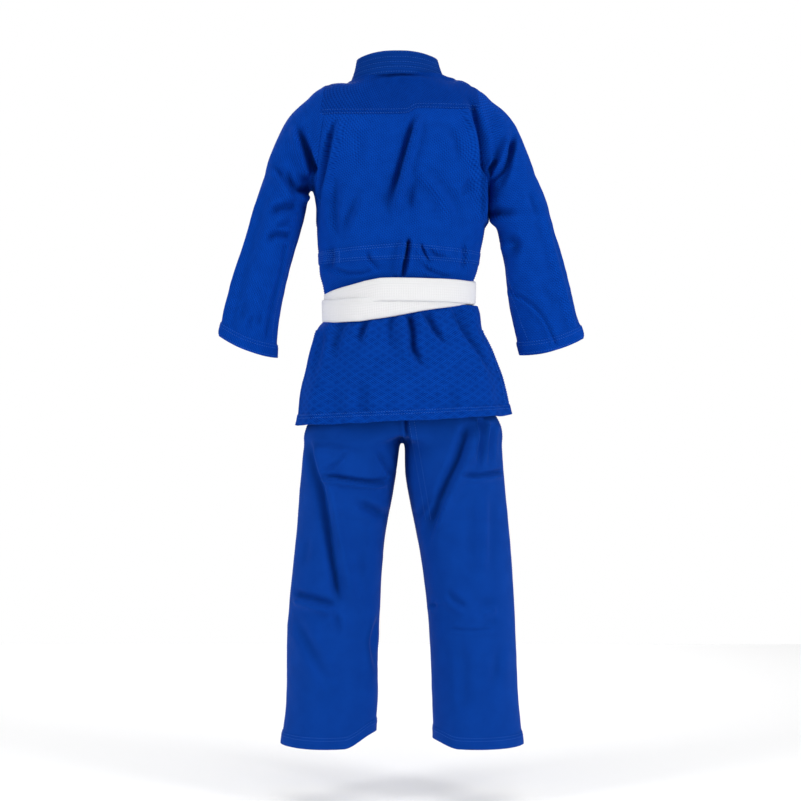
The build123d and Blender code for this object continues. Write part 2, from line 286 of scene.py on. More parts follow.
AROUND = 120
SIDE = Vector((1, 0, 0))
REAR = Vector((0, 1, 0))

NECK_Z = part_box("shoulder_yoke")[1].z
WAIST_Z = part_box("back_panel")[0].z
SKIRT_TOP_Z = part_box("back_skirt")[1].z
HEM_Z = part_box("back_skirt_hem")[0].z
SHOULDER = Vector(joint("shoulder_left")["pos_m"])
ELBOW = Vector(joint("elbow_left")["pos_m"])
HIP = Vector(joint("hip_left")["pos_m"])
ARMHOLE_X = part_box("back_panel")[1].x
CUFF_LOW, CUFF_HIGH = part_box("cuff_hem_left")
CUFF = (CUFF_LOW + CUFF_HIGH) / 2
SLEEVE_DOWN = (CUFF - ELBOW).normalized()


def torso_tube():
    tree = node_tree("back_panel", "shoulder_yoke", "front_panel_right", "lapel_right",
                     "underarm_gusset_left", "underarm_gusset_right")
    centres, frames, radii = [], [], []
    z = WAIST_Z + 0.001
    while z < NECK_Z - 0.0005:
        ring = ring_radii(tree, Vector((0, 0, z)), SIDE, REAR, AROUND, mirror_too=True)
        centres.append(Vector((0, 0, z)))
        frames.append((SIDE, REAR))
        radii.append(ring)
        z += MESH_STEP
    centres.append(Vector((0, 0, NECK_Z + 0.004)))
    frames.append((SIDE, REAR))
    radii.append(radii[-1] * 0.97)
    centres.insert(0, Vector((0, 0, WAIST_Z - 0.012)))
    frames.insert(0, (SIDE, REAR))
    radii.insert(0, radii[0])
    return tube(centres, frames, radii)


def sleeve_path(side):
    """Centres and directions along a sleeve, from inside the armhole to past the cuff."""
    armhole = Vector((ARMHOLE_X - 0.006, 0, SHOULDER.z - 0.080))
    handle_in = armhole + Vector((0.050, 0, 0))
    handle_out = ELBOW - SLEEVE_DOWN * 0.095
    centres, directions = [], []
    count = 44
    for i in range(count):
        t = i / count
        u = 1 - t
        centre = armhole * u**3 + handle_in * 3 * u * u * t + handle_out * 3 * u * t * t + ELBOW * t**3
        slope = (handle_in - armhole) * u * u + (handle_out - handle_in) * 2 * u * t
        slope += (ELBOW - handle_out) * t * t
        centres.append(centre)
        directions.append(slope.normalized())
    reach = (CUFF - ELBOW).length + 0.020
    steps = int(reach / MESH_STEP)
    for i in range(steps + 1):
        centres.append(ELBOW + SLEEVE_DOWN * reach * i / steps)
        directions.append(SLEEVE_DOWN.copy())
    if side < 0:
        centres = [Vector((-c.x, c.y, c.z)) for c in centres]
        directions = [Vector((-d.x, d.y, d.z)) for d in directions]
    return centres, directions


def sleeve_tube(side):
    name = "left" if side > 0 else "right"
    tree = node_tree(f"upper_sleeve_{name}", f"lower_sleeve_{name}", f"cuff_hem_{name}")
    centres, directions = sleeve_path(side)
    frames, radii = [], []
    for centre, direction in zip(centres, directions):
        across = REAR.cross(direction).normalized()
        ring = ring_radii(tree, centre, across, REAR, AROUND)
        frames.append((across, REAR))
        radii.append(ring)
    known = [i for i, r in enumerate(radii) if r is not None]
    first, last = known[0], known[-1]
    for i in range(len(radii)):
        if i < first:
            radii[i] = radii[first] * 0.985
        elif i > last:
            radii[i] = radii[last]
    return tube(centres, frames, radii)


def leg_tube(side):
    name = "left" if side > 0 else "right"
    tree = node_tree(*[f"{part}_{name}" for part in
                       ("thigh_front", "thigh_back", "shin_front", "shin_back", "leg_hem")])
    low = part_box(f"leg_hem_{name}")[0].z
    centres, frames, radii = [], [], []
    z = HIP.z
    while z > low + 0.001:
        outer = tree.ray_cast(Vector((side * 0.4, 0.001, z)), Vector((-side, 0, 0)))[0]
        inner = tree.ray_cast(Vector((side * -0.002, 0.001, z)), Vector((side, 0, 0)))[0]
        if outer is not None and inner is not None and abs(inner.x) < abs(outer.x) - 0.05:
            centre = Vector(((outer.x + inner.x) / 2, 0, z))
            ring = ring_radii(tree, centre, SIDE, REAR, AROUND)
            centres.append(centre)
            frames.append((SIDE, REAR))
            radii.append(ring)
        z -= MESH_STEP
    for lift in (0.03, 0.06):
        centres.insert(0, centres[0] + Vector((-side * 0.004, 0, lift / 2 + 0.015)))
        frames.insert(0, (SIDE, REAR))
        radii.insert(0, radii[0] * 0.93)
    centres.append(centres[-1] + Vector((0, 0, -0.014)))
    frames.append((SIDE, REAR))
    radii.append(radii[-1])
    return tube(centres, frames, radii)


def seat_tube():
    tree = node_tree("seat_front", "seat_back", "trouser_waistband", "thigh_front_left",
                     "thigh_back_left", "thigh_front_right", "thigh_back_right")
    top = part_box("trouser_waistband")[1].z
    centres, frames, radii = [], [], []
    z = top + 0.010
    while z > HIP.z:
        ring = ring_radii(tree, Vector((0, 0, min(z, top - 0.002))), SIDE, REAR, AROUND)
        centres.append(Vector((0, 0, z)))
        frames.append((SIDE, REAR))
        radii.append(ring)
        z -= MESH_STEP
    return tube(centres, frames, radii)


def skirt_sheet():
    """The jacket's skirt as a closed band of cloth, from under the belt to the hem."""
    tree = node_tree("back_skirt", "back_skirt_hem", "front_skirt_right", "lapel_tail_right",
                     "front_hem_right")
    columns = 300
    rows = 56
    points, faces = [], []
    for row in range(rows + 1):
        z = SKIRT_TOP_Z - 0.0008 + (HEM_Z - SKIRT_TOP_Z + 0.0016) * row / rows
        ring = ring_radii(tree, Vector((0, 0, z)), SIDE, REAR, columns, mirror_too=True)
        for i in range(columns):
            angle = 2 * math.pi * i / columns
            points.append((math.sin(angle) * ring[i], math.cos(angle) * ring[i], z))
    for row in range(rows):
        for i in range(columns):
            j = (i + 1) % columns
            a, b = row * columns, (row + 1) * columns
            faces.append([a + i, b + i, b + j, a + j])
    cloth = Cloth(points, faces)
    if (cloth.find_normals() * cloth.points).sum() < 0:
        cloth.faces = [f[::-1] for f in cloth.faces]
        cloth.find_normals()
    return cloth


# ================================================================ folds
def along(path, x, z):
    """Signed distance from a path of (x, z) points, and how far along it, 0 to 1."""
    path = np.array(path, float)
    t = np.linspace(0, len(path) - 1, 8 * (len(path) - 1) + 1)
    knots = np.arange(len(path))
    if len(path) > 2:
        fine_x = np.interp(t, knots, path[:, 0])
        fine_z = np.interp(t, knots, path[:, 1])
        for _ in range(6):
            fine_x[1:-1] = (fine_x[:-2] + 2 * fine_x[1:-1] + fine_x[2:]) / 4
            fine_z[1:-1] = (fine_z[:-2] + 2 * fine_z[1:-1] + fine_z[2:]) / 4
    else:
        fine_x = np.interp(t, knots, path[:, 0])
        fine_z = np.interp(t, knots, path[:, 1])
    lengths = np.hypot(np.diff(fine_x), np.diff(fine_z))
    total = lengths.sum()
    best = np.full(len(x), 1e9)
    signed = np.zeros(len(x))
    share = np.zeros(len(x))
    done = 0.0
    for i in range(len(lengths)):
        dx, dz = fine_x[i + 1] - fine_x[i], fine_z[i + 1] - fine_z[i]
        s = ((x - fine_x[i]) * dx + (z - fine_z[i]) * dz) / lengths[i] ** 2
        s = np.clip(s, 0, 1)
        px, pz = x - fine_x[i] - s * dx, z - fine_z[i] - s * dz
        distance = np.hypot(px, pz)
        nearer = distance < best
        best = np.where(nearer, distance, best)
        turn = np.sign(dx * pz - dz * px)
        signed = np.where(nearer, distance * turn, signed)
        share = np.where(nearer, (done + s * lengths[i]) / total, share)
        done += lengths[i]
    return signed, share


def fold(cloth, facing, path, depth, width, lean=0.0, ends=(0.25, 0.25)):
    """How far a fold moves each point: a valley along the path with a ridge on each side.
    lean, -1 to 1, makes the ridge on the path's left or right the larger one."""
    x, y, z = cloth.points.T
    path = np.array(path, float) / 1000
    depth, width = depth / 1000, width / 1000
    reach = 5 * width
    low, high = path.min(axis=0) - reach, path.max(axis=0) + reach
    near = (x > low[0]) & (x < high[0]) & (z > low[1]) & (z < high[1])
    near &= cloth.normals[:, 1] * facing > -0.2
    move = np.zeros(len(x))
    if not near.any():
        return move
    distance, share = along(path, x[near], z[near])
    fade = smoothstep(-0.001, 1.3 * ends[0], share) * smoothstep(-0.001, 1.4 * ends[1], 1 - share)
    fade *= smoothstep(-0.15, 0.35, cloth.normals[near, 1] * facing)
    toward = distance * (1 if lean >= 0 else -1)
    crisp = abs(lean)
    near_width = width * np.where(toward > 0, 1 - 0.45 * crisp, 1 + 0.35 * crisp)
    valley = np.exp(-((distance / near_width) ** 2))
    ridge = np.exp(-(((np.abs(distance) - 1.6 * width) / (1.1 * width)) ** 2))
    ridge *= 0.5 * (1 + crisp * np.sign(toward)) * (1 + 0.5 * crisp)
    move[near] = depth * (ridge - valley) * fade
    return move


def folded(move, cloth, folds):
    """move, how far each point goes out along its normal, with a list of folds added to it."""
    for facing, strength, path, depth, width, lean, ends in folds:
        move = move + strength * fold(cloth, facing, path, depth, width, lean, ends)
    return move


def crumple(cloth, size, height, seed, stretch=(1, 1, 1)):
    """Small soft creases all over, from folded noise."""
    scale = np.array(stretch) / size
    offset = Vector((seed * 7.31, seed * 3.17, seed * 5.71))
    values = [noise.noise(Vector(p) + offset) for p in cloth.points * scale]
    ridged = 0.35 - np.abs(np.array(values))
    return ridged * height


def swell(cloth, size, height, seed, stretch=(1, 1, 1)):
    """Slow waves in the cloth."""
    scale = np.array(stretch) / size
    offset = Vector((seed * 4.7, seed * 9.1, seed * 2.3))
    values = [noise.noise(Vector(p) + offset) for p in cloth.points * scale]
    return np.array(values) * height


# ================================================================ smoothing, nudging and stitching
def relax(cloth, rounds, weight):
    """Evens the cloth out where weight, one value for each point, is above 0."""
    pairs = set()
    for face in cloth.faces:
        for a, b in zip(face, face[1:] + face[:1]):
            pairs.add((a, b) if a < b else (b, a))
    pairs = np.array(list(pairs))
    degree = np.bincount(pairs.ravel(), minlength=len(cloth.points))[:, None]
    strength = 0.5 * weight[:, None]
    for _ in range(rounds):
        total = np.zeros_like(cloth.points)
        for axis in range(3):
            total[:, axis] += np.bincount(pairs[:, 0], cloth.points[pairs[:, 1], axis], len(cloth.points))
            total[:, axis] += np.bincount(pairs[:, 1], cloth.points[pairs[:, 0], axis], len(cloth.points))
        cloth.points += strength * (total / degree - cloth.points)
    cloth.find_normals()


def nudge(cloth, centre, reach, shift):
    """Moves the cloth near a point (x, z) sideways or up, in millimetres, fading with distance."""
    x, y, z = cloth.points.T
    away = ((x * 1000 - centre[0]) / reach[0]) ** 2 + ((z * 1000 - centre[1]) / reach[1]) ** 2
    near = np.exp(-away)
    cloth.points[:, 0] += near * shift[0] / 1000
    cloth.points[:, 2] += near * shift[1] / 1000


def nudge_all(cloth, nudges):
    """Makes a list of nudges, each with its centre, its reach and its shift."""
    for centre, reach, shift in nudges:
        nudge(cloth, centre, reach, shift)


def level_lines(cloth, field):
    """The lines on the cloth where field is 0, as pairs of points and normals."""
    value = np.where(np.abs(field) < 1e-9, 1e-9, field)
    above = value > 0
    links = {}
    for count in set(len(f) for f in cloth.faces):
        group = [f for f in cloth.faces if len(f) == count]
        sides = above[np.array(group)].sum(axis=1)
        for index in np.nonzero((sides > 0) & (sides < count))[0]:
            face = group[index]
            sides_of_face = zip(face, face[1:] + face[:1])
            ends = [(min(a, b), max(a, b)) for a, b in sides_of_face if above[a] != above[b]]
            links.setdefault(ends[0], []).append(ends[1])
            links.setdefault(ends[1], []).append(ends[0])
    lines = []
    seen = set()
    for start in [k for k in links if len(links[k]) == 1] + list(links):
        if start in seen:
            continue
        seen.add(start)
        line = [start]
        while True:
            onward = [k for k in links[line[-1]] if k not in seen]
            if not onward:
                break
            seen.add(onward[0])
            line.append(onward[0])
        if len(line) > 3:
            ends = np.array(line)
            share = (value[ends[:, 0]] / (value[ends[:, 0]] - value[ends[:, 1]]))[:, None]
            points = cloth.points[ends[:, 0]] * (1 - share) + cloth.points[ends[:, 1]] * share
            normals = cloth.normals[ends[:, 0]] * (1 - share) + cloth.normals[ends[:, 1]] * share
            lines.append((points, normals))
    return lines


STITCH = 0.0031
STITCH_GAP = 0.0013
THREAD = 0.00042


def stitches(points, normals):
    """Short plump stitches of thread along a line, as points and faces."""
    lengths = np.linalg.norm(np.diff(points, axis=0), axis=1)
    run = np.concatenate([[0], np.cumsum(lengths)])
    count = int(run[-1] / (STITCH + STITCH_GAP))
    if count < 1:
        return np.zeros((0, 3)), []
    starts = np.arange(count) * (STITCH + STITCH_GAP)

    def at(distance, values):
        return np.stack([np.interp(distance, run, values[:, k]) for k in range(3)], axis=1)

    first, last = at(starts, points), at(starts + STITCH, points)
    up = at(starts, normals)
    up /= np.linalg.norm(up, axis=1, keepdims=True)
    way = last - first
    way /= np.maximum(np.linalg.norm(way, axis=1, keepdims=True), 1e-9)
    side = np.cross(up, way) * THREAD
    top = up * THREAD * 1.5
    near, far = first * 0.75 + last * 0.25, first * 0.25 + last * 0.75
    corners = [first, near + side, near + top, near - side, far + side, far + top, far - side, last]
    all_points = np.stack(corners, axis=1).reshape(-1, 3)
    pattern = [(0, 2, 1), (0, 3, 2), (0, 1, 3), (1, 2, 5, 4), (2, 3, 6, 5), (3, 1, 4, 6),
               (7, 4, 5), (7, 5, 6), (7, 6, 4)]
    faces = [[8 * i + k for k in f] for i in range(count) for f in pattern]
    return all_points, faces


# ================================================================ pieces
def weave_coordinates(cloth, kind, side=1):
    """Distance round and distance along the cloth, in millimetres, for its weave."""
    x, y, z = cloth.points.T
    if kind == "torso":
        angle = np.arctan2(x / 0.150, y / 0.100)
        table = np.linspace(-math.pi, math.pi, 721)
        speed = np.hypot(0.150 * np.cos(table), 0.100 * np.sin(table))
        distance = np.concatenate([[0], np.cumsum((speed[1:] + speed[:-1]) / 2 * np.diff(table))])
        around = np.interp(angle, table, distance)
        lap = distance[-1]
        down = z
    elif kind == "sleeve":
        centres, directions = sleeve_path(side)
        centre_points = np.array([c[:] for c in centres])
        steps = np.linalg.norm(np.diff(centre_points, axis=0), axis=1)
        travelled = np.concatenate([[0], np.cumsum(steps)])
        gaps = ((cloth.points[:, None, :] - centre_points[None, ::3, :]) ** 2).sum(axis=2)
        nearest = gaps.argmin(axis=1) * 3
        way = np.array([d[:] for d in directions])[nearest]
        rest = cloth.points - centre_points[nearest]
        down = -(travelled[nearest] + (rest * way).sum(axis=1))
        across = np.cross(np.array([0, 1, 0]), way)
        angle = np.arctan2((rest * across).sum(axis=1) * -1, rest[:, 1])
        around = angle * SLEEVE_ROUND
        lap = 2 * math.pi * SLEEVE_ROUND
    elif kind == "leg_top":
        around = np.arctan2(x / 0.150, y / 0.095) * SEAT_ROUND
        lap = 2 * math.pi * SEAT_ROUND
        down = z
    else:
        middle = side * (0.084 + 0.050 * smoothstep(HIP.z, -0.76, z))
        around = np.arctan2(x - middle, y) * LEG_ROUND
        lap = 2 * math.pi * LEG_ROUND
        down = z
    return around * 1000, down * 1000, lap * 1000


def rows_in(field, *insets):
    """Fields for rows of stitching at some distances inside the place where field is 0."""
    return [lambda x, y, z, inset=inset: field(x, y, z) - inset for inset in insets]


def laid_strip(cloth, field, spare, base, rise):
    """The part where field is above 0, in finer faces, raised off the cloth with sloping edges.
    spare is how much more is taken before the faces are made finer."""
    strip = cloth.keep(lambda x, y, z: field(x, y, z) + spare).refined().keep(field)
    return strip.raised(base + rise * smoothstep(0, EDGE_SLOPE, field(*strip.points.T)))


def painted_crease_shade(cloth, folds):
    """How deep in a fold each point lies, from 0 to 1, used as painted shade that darkens the creases."""
    shade_depth = np.zeros(len(cloth.points))
    for facing, strength, path, depth, width, lean, ends in folds:
        shade_depth -= strength * np.minimum(fold(cloth, facing, path, depth, width, lean, ends), 0)
    return np.clip(shade_depth / 0.010, 0, 1)


def build(name, cloth, thickness, material, kind, side=1, rows=(), folds=()):
    """Makes a solid, two-sided piece of cloth: outer layer, inner layer and edges.
    rows are the fields, functions of x, y and z, that are 0 along its lines of stitching."""
    count = len(cloth.points)
    normals = cloth.normals
    inner_points = cloth.points - normals * thickness
    points = np.vstack([cloth.points, inner_points])
    outer = cloth.faces
    inner = [[i + count for i in reversed(f)] for f in outer]
    edges = {}
    for face in outer:
        for a, b in zip(face, face[1:] + face[:1]):
            edges[(a, b)] = True
    rim = [(a, b) for (a, b) in edges if (b, a) not in edges]
    rim_faces = [[b, a, a + count, b + count] for a, b in rim]
    faces = outer + inner + rim_faces
    cloth_faces = len(faces)
    around, down, lap = weave_coordinates(cloth, kind, side)
    # painted shade: fold depth of each point, stored for the material to darken the creases
    shade_depth = painted_crease_shade(cloth, folds)
    around = np.concatenate([around, around])
    down = np.concatenate([down, down])
    for row in rows:
        for line, line_normals in level_lines(cloth, row(*cloth.points.T)):
            thread_points, thread_faces = stitches(line, line_normals)
            faces += [[i + len(points) for i in f] for f in thread_faces]
            points = np.vstack([points, thread_points])
    around = np.concatenate([around, np.zeros(len(points) - len(around))])
    down = np.concatenate([down, np.zeros(len(points) - len(down))])
    mesh = bpy.data.meshes.new(name)
    mesh.from_pydata(points.tolist(), [], faces)
    mesh.polygons.foreach_set("use_smooth", [True] * len(faces))
    sharp = set()
    for a, b in rim:
        sharp.add((min(a, b), max(a, b)))
        sharp.add((min(a, b) + count, max(a, b) + count))
    marks = mesh.attributes.new("sharp_edge", "BOOLEAN", "EDGE")
    flags = [tuple(sorted(e.vertices)) in sharp for e in mesh.edges]
    marks.data.foreach_set("value", flags)
    loops = np.zeros(len(mesh.loops), int)
    mesh.loops.foreach_get("vertex_index", loops)
    totals = np.zeros(len(mesh.polygons), int)
    mesh.polygons.foreach_get("loop_total", totals)
    loop_face = np.repeat(np.arange(len(totals)), totals)
    u = around[loops]
    face_high = np.full(len(totals), -1e9)
    np.maximum.at(face_high, loop_face, u)
    u = np.where(face_high[loop_face] - u > lap / 2, u + lap, u)
    values = np.stack([u, down[loops], np.zeros(len(u))], axis=1)
    weave = mesh.attributes.new("weave", "FLOAT_VECTOR", "CORNER")
    weave.data.foreach_set("vector", values.ravel().astype(np.float32))
    shade_depth = np.concatenate([shade_depth, shade_depth, np.zeros(len(points) - 2 * count)])
    crease = mesh.attributes.new("painted_crease_shade", "FLOAT", "POINT")
    crease.data.foreach_set("value", shade_depth.astype(np.float32))
    border = np.zeros(len(points), bool)
    for a, b in rim:
        border[[a, b]] = True
    outer_loops = loop_face < len(outer)
    custom = np.zeros((len(loops), 3))
    chosen = outer_loops & border[loops]
    custom[chosen] = normals[loops[chosen]]
    mesh.normals_split_custom_set(custom.tolist())
    piece = bpy.data.objects.new(name, mesh)
    bpy.context.scene.collection.objects.link(piece)
    mesh.materials.append(material)
    mesh.materials.append(thread)
    mesh.polygons.foreach_set("material_index", [0] * cloth_faces + [1] * (len(faces) - cloth_faces))
    return piece


# ================================================================ materials
BLUE_SHINE = (0.08, 0.30, 1.0, 1)
WHITE_SHINE = (1, 1, 1, 1)


def shader(name, roughness, sheen, specular, shine=BLUE_SHINE):
    material = bpy.data.materials.new(name)
    material.use_nodes = True
    nodes, links = material.node_tree.nodes, material.node_tree.links
    surface = nodes["Principled BSDF"]
    surface.inputs["Roughness"].default_value = roughness
    surface.inputs["Specular IOR Level"].default_value = specular
    surface.inputs["Specular Tint"].default_value = shine
    surface.inputs["Sheen Weight"].default_value = sheen
    surface.inputs["Sheen Roughness"].default_value = 0.4
    surface.inputs["Sheen Tint"].default_value = shine
    return material, nodes, links, surface


def math_node(nodes, links, operation, first, second=None):
    node = nodes.new("ShaderNodeMath")
    node.operation = operation
    for socket, value in zip(node.inputs, (first, second)):
        if value is None:
            continue
        if isinstance(value, (int, float)):
            socket.default_value = value
        else:
            links.new(value, socket)
    return node.outputs[0]


def wave(nodes, links, turn, period_x, period_y):
    """Two crossing sine waves over the weave coordinates, turned by an angle."""
    where = nodes.new("ShaderNodeAttribute")
    where.attribute_name = "weave"
    mapping = nodes.new("ShaderNodeMapping")
    mapping.inputs["Rotation"].default_value = (0, 0, math.radians(turn))
    links.new(where.outputs["Vector"], mapping.inputs["Vector"])
    split = nodes.new("ShaderNodeSeparateXYZ")
    links.new(mapping.outputs["Vector"], split.inputs[0])
    across = math_node(nodes, links, "MULTIPLY", split.outputs[0], 2 * math.pi / period_x)
    down = math_node(nodes, links, "MULTIPLY", split.outputs[1], 2 * math.pi / period_y)
    return math_node(nodes, links, "SINE", across), math_node(nodes, links, "SINE", down)


def noise_value(nodes, links, scale, detail=3.0):
    where = nodes.new("ShaderNodeAttribute")
    where.attribute_name = "weave"
    cloud = nodes.new("ShaderNodeTexNoise")
    cloud.inputs["Scale"].default_value = scale
    cloud.inputs["Detail"].default_value = detail
    links.new(where.outputs["Vector"], cloud.inputs["Vector"])
    return cloud.outputs[0]


def weighted_sum(nodes, links, *terms):
    """The sum of some values, each with its weight."""
    total = None
    for value, weight in terms:
        part = math_node(nodes, links, "MULTIPLY", value, weight)
        total = part if total is None else math_node(nodes, links, "ADD", total, part)
    return total


def coloured(nodes, links, surface, value, dark, light):
    """Colours the cloth from dark to light by value, with painted shade making it darker in the creases."""
    ramp = nodes.new("ShaderNodeValToRGB")
    ramp.color_ramp.elements[0].color = (*dark, 1)
    ramp.color_ramp.elements[1].color = (*light, 1)
    links.new(value, ramp.inputs[0])
    where = nodes.new("ShaderNodeAttribute")
    where.attribute_name = "painted_crease_shade"
    # painted shade: the colour is mixed towards a darker blue where the point lies deep in a fold
    shade = nodes.new("ShaderNodeMix")
    shade.data_type = "RGBA"
    shade.inputs["B"].default_value = (dark[0] * 0.4, dark[1] * 0.4, dark[2] * 0.4, 1)
    links.new(math_node(nodes, links, "MULTIPLY", where.outputs["Fac"], 0.42), shade.inputs["Factor"])
    links.new(ramp.outputs[0], shade.inputs["A"])
    links.new(shade.outputs["Result"], surface.inputs["Base Color"])


def bumped(nodes, links, surface, value, strength, distance):
    bump = nodes.new("ShaderNodeBump")
    bump.inputs["Strength"].default_value = strength
    bump.inputs["Distance"].default_value = distance
    links.new(value, bump.inputs["Height"])
    links.new(bump.outputs[0], surface.inputs["Normal"])


def grain_cloth(name, dark, light, turn, period_x, period_y, distance=0.0006, shine=BLUE_SHINE):
    """Woven cotton with raised staggered grains."""
    material, nodes, links, surface = shader(name, 0.80, 0.08, 0.03, shine)
    first, second = wave(nodes, links, turn, period_x, period_y)
    rib = math_node(nodes, links, "MULTIPLY", second, 0.60)
    grain = math_node(nodes, links, "MULTIPLY", first, math_node(nodes, links, "ADD", rib, 0.40))
    mottle = noise_value(nodes, links, 0.05)
    fine = noise_value(nodes, links, 0.6)
    value = weighted_sum(nodes, links, (grain, 0.42), (mottle, 0.35), (fine, 0.65))
    coloured(nodes, links, surface, value, dark, light)
    bumped(nodes, links, surface, grain, 0.6, distance)
    return material


def diamond_cloth(name, dark, light):
    """Heavy cotton whose small grains run in zigzags that form diamonds."""
    material, nodes, links, surface = shader(name, 0.80, 0.08, 0.03)
    first, second = wave(nodes, links, 0, 4.4, 3.6)
    grain = math_node(nodes, links, "MULTIPLY", first, second)
    ridges = []
    for turn in (57, -57):
        slanting = wave(nodes, links, turn, 22.0, 22.0)[0]
        slope = math_node(nodes, links, "ABSOLUTE", slanting)
        ridges.append(math_node(nodes, links, "SUBTRACT", 0.6, slope))
    lattice = math_node(nodes, links, "MAXIMUM", *ridges)
    mottle = noise_value(nodes, links, 0.05)
    fine = noise_value(nodes, links, 0.5)
    value = weighted_sum(nodes, links, (grain, 0.34), (lattice, 0.26), (mottle, 0.35), (fine, 0.65))
    coloured(nodes, links, surface, value, dark, light)
    relief = math_node(nodes, links, "ADD", grain, math_node(nodes, links, "MULTIPLY", lattice, 0.5))
    bumped(nodes, links, surface, relief, 0.6, 0.0006)
    return material


def twill_cloth(name, dark, light):
    """Smooth cotton twill with a faint fine rib."""
    material, nodes, links, surface = shader(name, 0.65, 0.06, 0.03)
    rib = wave(nodes, links, 58, 1.3, 9.0)[0]
    mottle = noise_value(nodes, links, 0.03, 5.0)
    fine = noise_value(nodes, links, 0.9)
    value = weighted_sum(nodes, links, (rib, 0.08), (mottle, 0.55), (fine, 0.45))
    coloured(nodes, links, surface, value, dark, light)
    bumped(nodes, links, surface, rib, 0.25, 0.0002)
    return material


jacket_weave = grain_cloth("jacket_weave", (0.0006, 0.020, 0.182), (0.0025, 0.068, 0.485), 40, 3.6, 5.0)
# painted shade: the jacket's weave in darker colours, for the yoke at the top of the back, which tilts away
# from the light
shaded_yoke_weave = grain_cloth("shaded_yoke_weave", (0.0005, 0.0145, 0.138), (0.0020, 0.050, 0.370), 40, 3.6, 5.0)
skirt_weave = diamond_cloth("skirt_weave", (0.0006, 0.018, 0.165), (0.0026, 0.064, 0.450))
collar_drill = grain_cloth("collar_drill", (0.0014, 0.022, 0.165), (0.0032, 0.048, 0.320), 0, 4.0, 2.0)
trouser_twill = twill_cloth("trouser_twill", (0.0022, 0.030, 0.215), (0.0045, 0.060, 0.385))
belt_cotton = grain_cloth("belt_cotton", (0.74, 0.74, 0.75), (0.82, 0.82, 0.83), 0, 60.0, 4.0,
                          0.00015, WHITE_SHINE)
thread = twill_cloth("thread_blue", (0.020, 0.090, 0.42), (0.040, 0.150, 0.60))
thread_white = twill_cloth("thread_white", (0.70, 0.70, 0.70), (0.85, 0.85, 0.85))


# ================================================================ bands: collar, lapels, belt
def band(name, rails, outward, thickness, material, offset=0.0, closed=False,
         grooves=(), sewn=(), groove_depth=0.0005):
    """A flat band with rounded edges. rails is stations x samples x 3, the band's under face,
    and outward gives the way that its outer face looks at each of those points."""
    stations, samples = rails.shape[:2]
    v = np.linspace(0, 1, samples)
    edge = np.clip((1 - np.abs(2 * v - 1)) * samples / 6, 0, 1)
    profile = thickness * (0.30 + 0.70 * np.sqrt(1 - (1 - edge) ** 2))
    for g in grooves:
        profile -= groove_depth * np.exp(-(((v - g) * samples / 1.3) ** 2))
    top = rails + outward * (offset + profile)[None, :, None]
    bottom = rails + outward * offset
    ring = np.concatenate([top, bottom[:, ::-1]], axis=1)
    around = ring.shape[1]
    points = ring.reshape(-1, 3)
    faces = []
    for i in range(stations if closed else stations - 1):
        a, b = i * around, ((i + 1) % stations) * around
        for k in range(around):
            n = (k + 1) % around
            faces.append([a + k, b + k, b + n, a + n])
    if not closed:
        faces.append(list(range(around)))
        faces.append(list(range((stations - 1) * around, stations * around))[::-1])
    centre = points.mean(axis=0)
    width = np.linalg.norm(rails[0, -1] - rails[0, 0])
    steps = np.linalg.norm(np.diff(rails[:, samples // 2], axis=0), axis=1)
    run = np.concatenate([[0], np.cumsum(steps)]) * 1000
    across = np.concatenate([v, v[::-1]]) * width * 1000
    weave = np.stack([np.tile(across, stations), np.repeat(run, around), np.zeros(len(points))], axis=1)
    volume = 0.0
    for face in faces[:(stations - 1) * around]:
        p, q, r, s = points[face] - centre
        volume += np.dot(p, np.cross(q, r)) + np.dot(p, np.cross(r, s))
    if volume < 0:
        faces = [f[::-1] for f in faces]
    cloth_faces = len(faces)
    for s in sewn:
        index = int(round(s * (samples - 1)))
        thread_points, thread_faces = stitches(top[:, index], outward[:, index])
        faces += [[i + len(points) for i in f] for f in thread_faces]
        points = np.vstack([points, thread_points])
        weave = np.vstack([weave, np.zeros_like(thread_points)])
    mesh = bpy.data.meshes.new(name)
    mesh.from_pydata(points.tolist(), [], faces)
    mesh.polygons.foreach_set("use_smooth", [True] * len(faces))
    loops = np.zeros(len(mesh.loops), int)
    mesh.loops.foreach_get("vertex_index", loops)
    attribute = mesh.attributes.new("weave", "FLOAT_VECTOR", "CORNER")
    attribute.data.foreach_set("vector", weave[loops].ravel().astype(np.float32))
    mesh.materials.append(material)
    mesh.materials.append(thread_white if material is belt_cotton else thread)
    mesh.polygons.foreach_set("material_index", [0] * cloth_faces + [1] * (len(faces) - cloth_faces))
    piece = bpy.data.objects.new(name, mesh)
    bpy.context.scene.collection.objects.link(piece)
    return piece


def face_normals(rails, away_from):
    """Unit normals of a grid of points, looking away from another grid or point."""
    along_grid = np.gradient(rails, axis=0)
    across_grid = np.gradient(rails, axis=1)
    normals = np.cross(along_grid, across_grid)
    normals /= np.maximum(np.linalg.norm(normals, axis=2, keepdims=True), 1e-12)
    flip = ((rails - away_from) * normals).sum(axis=2, keepdims=True) < 0
    return np.where(flip, -normals, normals)


# ================================================================ the jacket's upper body and sleeves
ARM_IN = 0.152
HEM_TILT = 0.047


def armhole(side):
    """Distance outside the armhole seam, which slants in towards the neck."""
    def test(x, y, z):
        return side * x - ARM_IN + 0.13 * np.clip(z - 0.16, 0, 0.3) - 0.30 * np.clip(0.14 - z, 0, 0.1)
    return test


def along_arm(side):
    """Distance past the elbow, along the sleeve."""
    def test(x, y, z):
        return (side * x - ELBOW.x) * SLEEVE_DOWN.x + (z - ELBOW.z) * SLEEVE_DOWN.z
    return test


def across_arm(side):
    """Distance outwards from the sleeve's middle line."""
    def test(x, y, z):
        return -(side * x - ELBOW.x) * SLEEVE_DOWN.z + (z - ELBOW.z) * SLEEVE_DOWN.x
    return test


CUFF_SLANT = {1: 0.16, -1: 0.06}


def cuff_shift(side, across):
    """How much further than its middle a cuff reaches: it slants, and sags between its ends."""
    return -0.0055 - CUFF_SLANT[side] * across + 0.005 * (1 - (across / 0.045) ** 2)


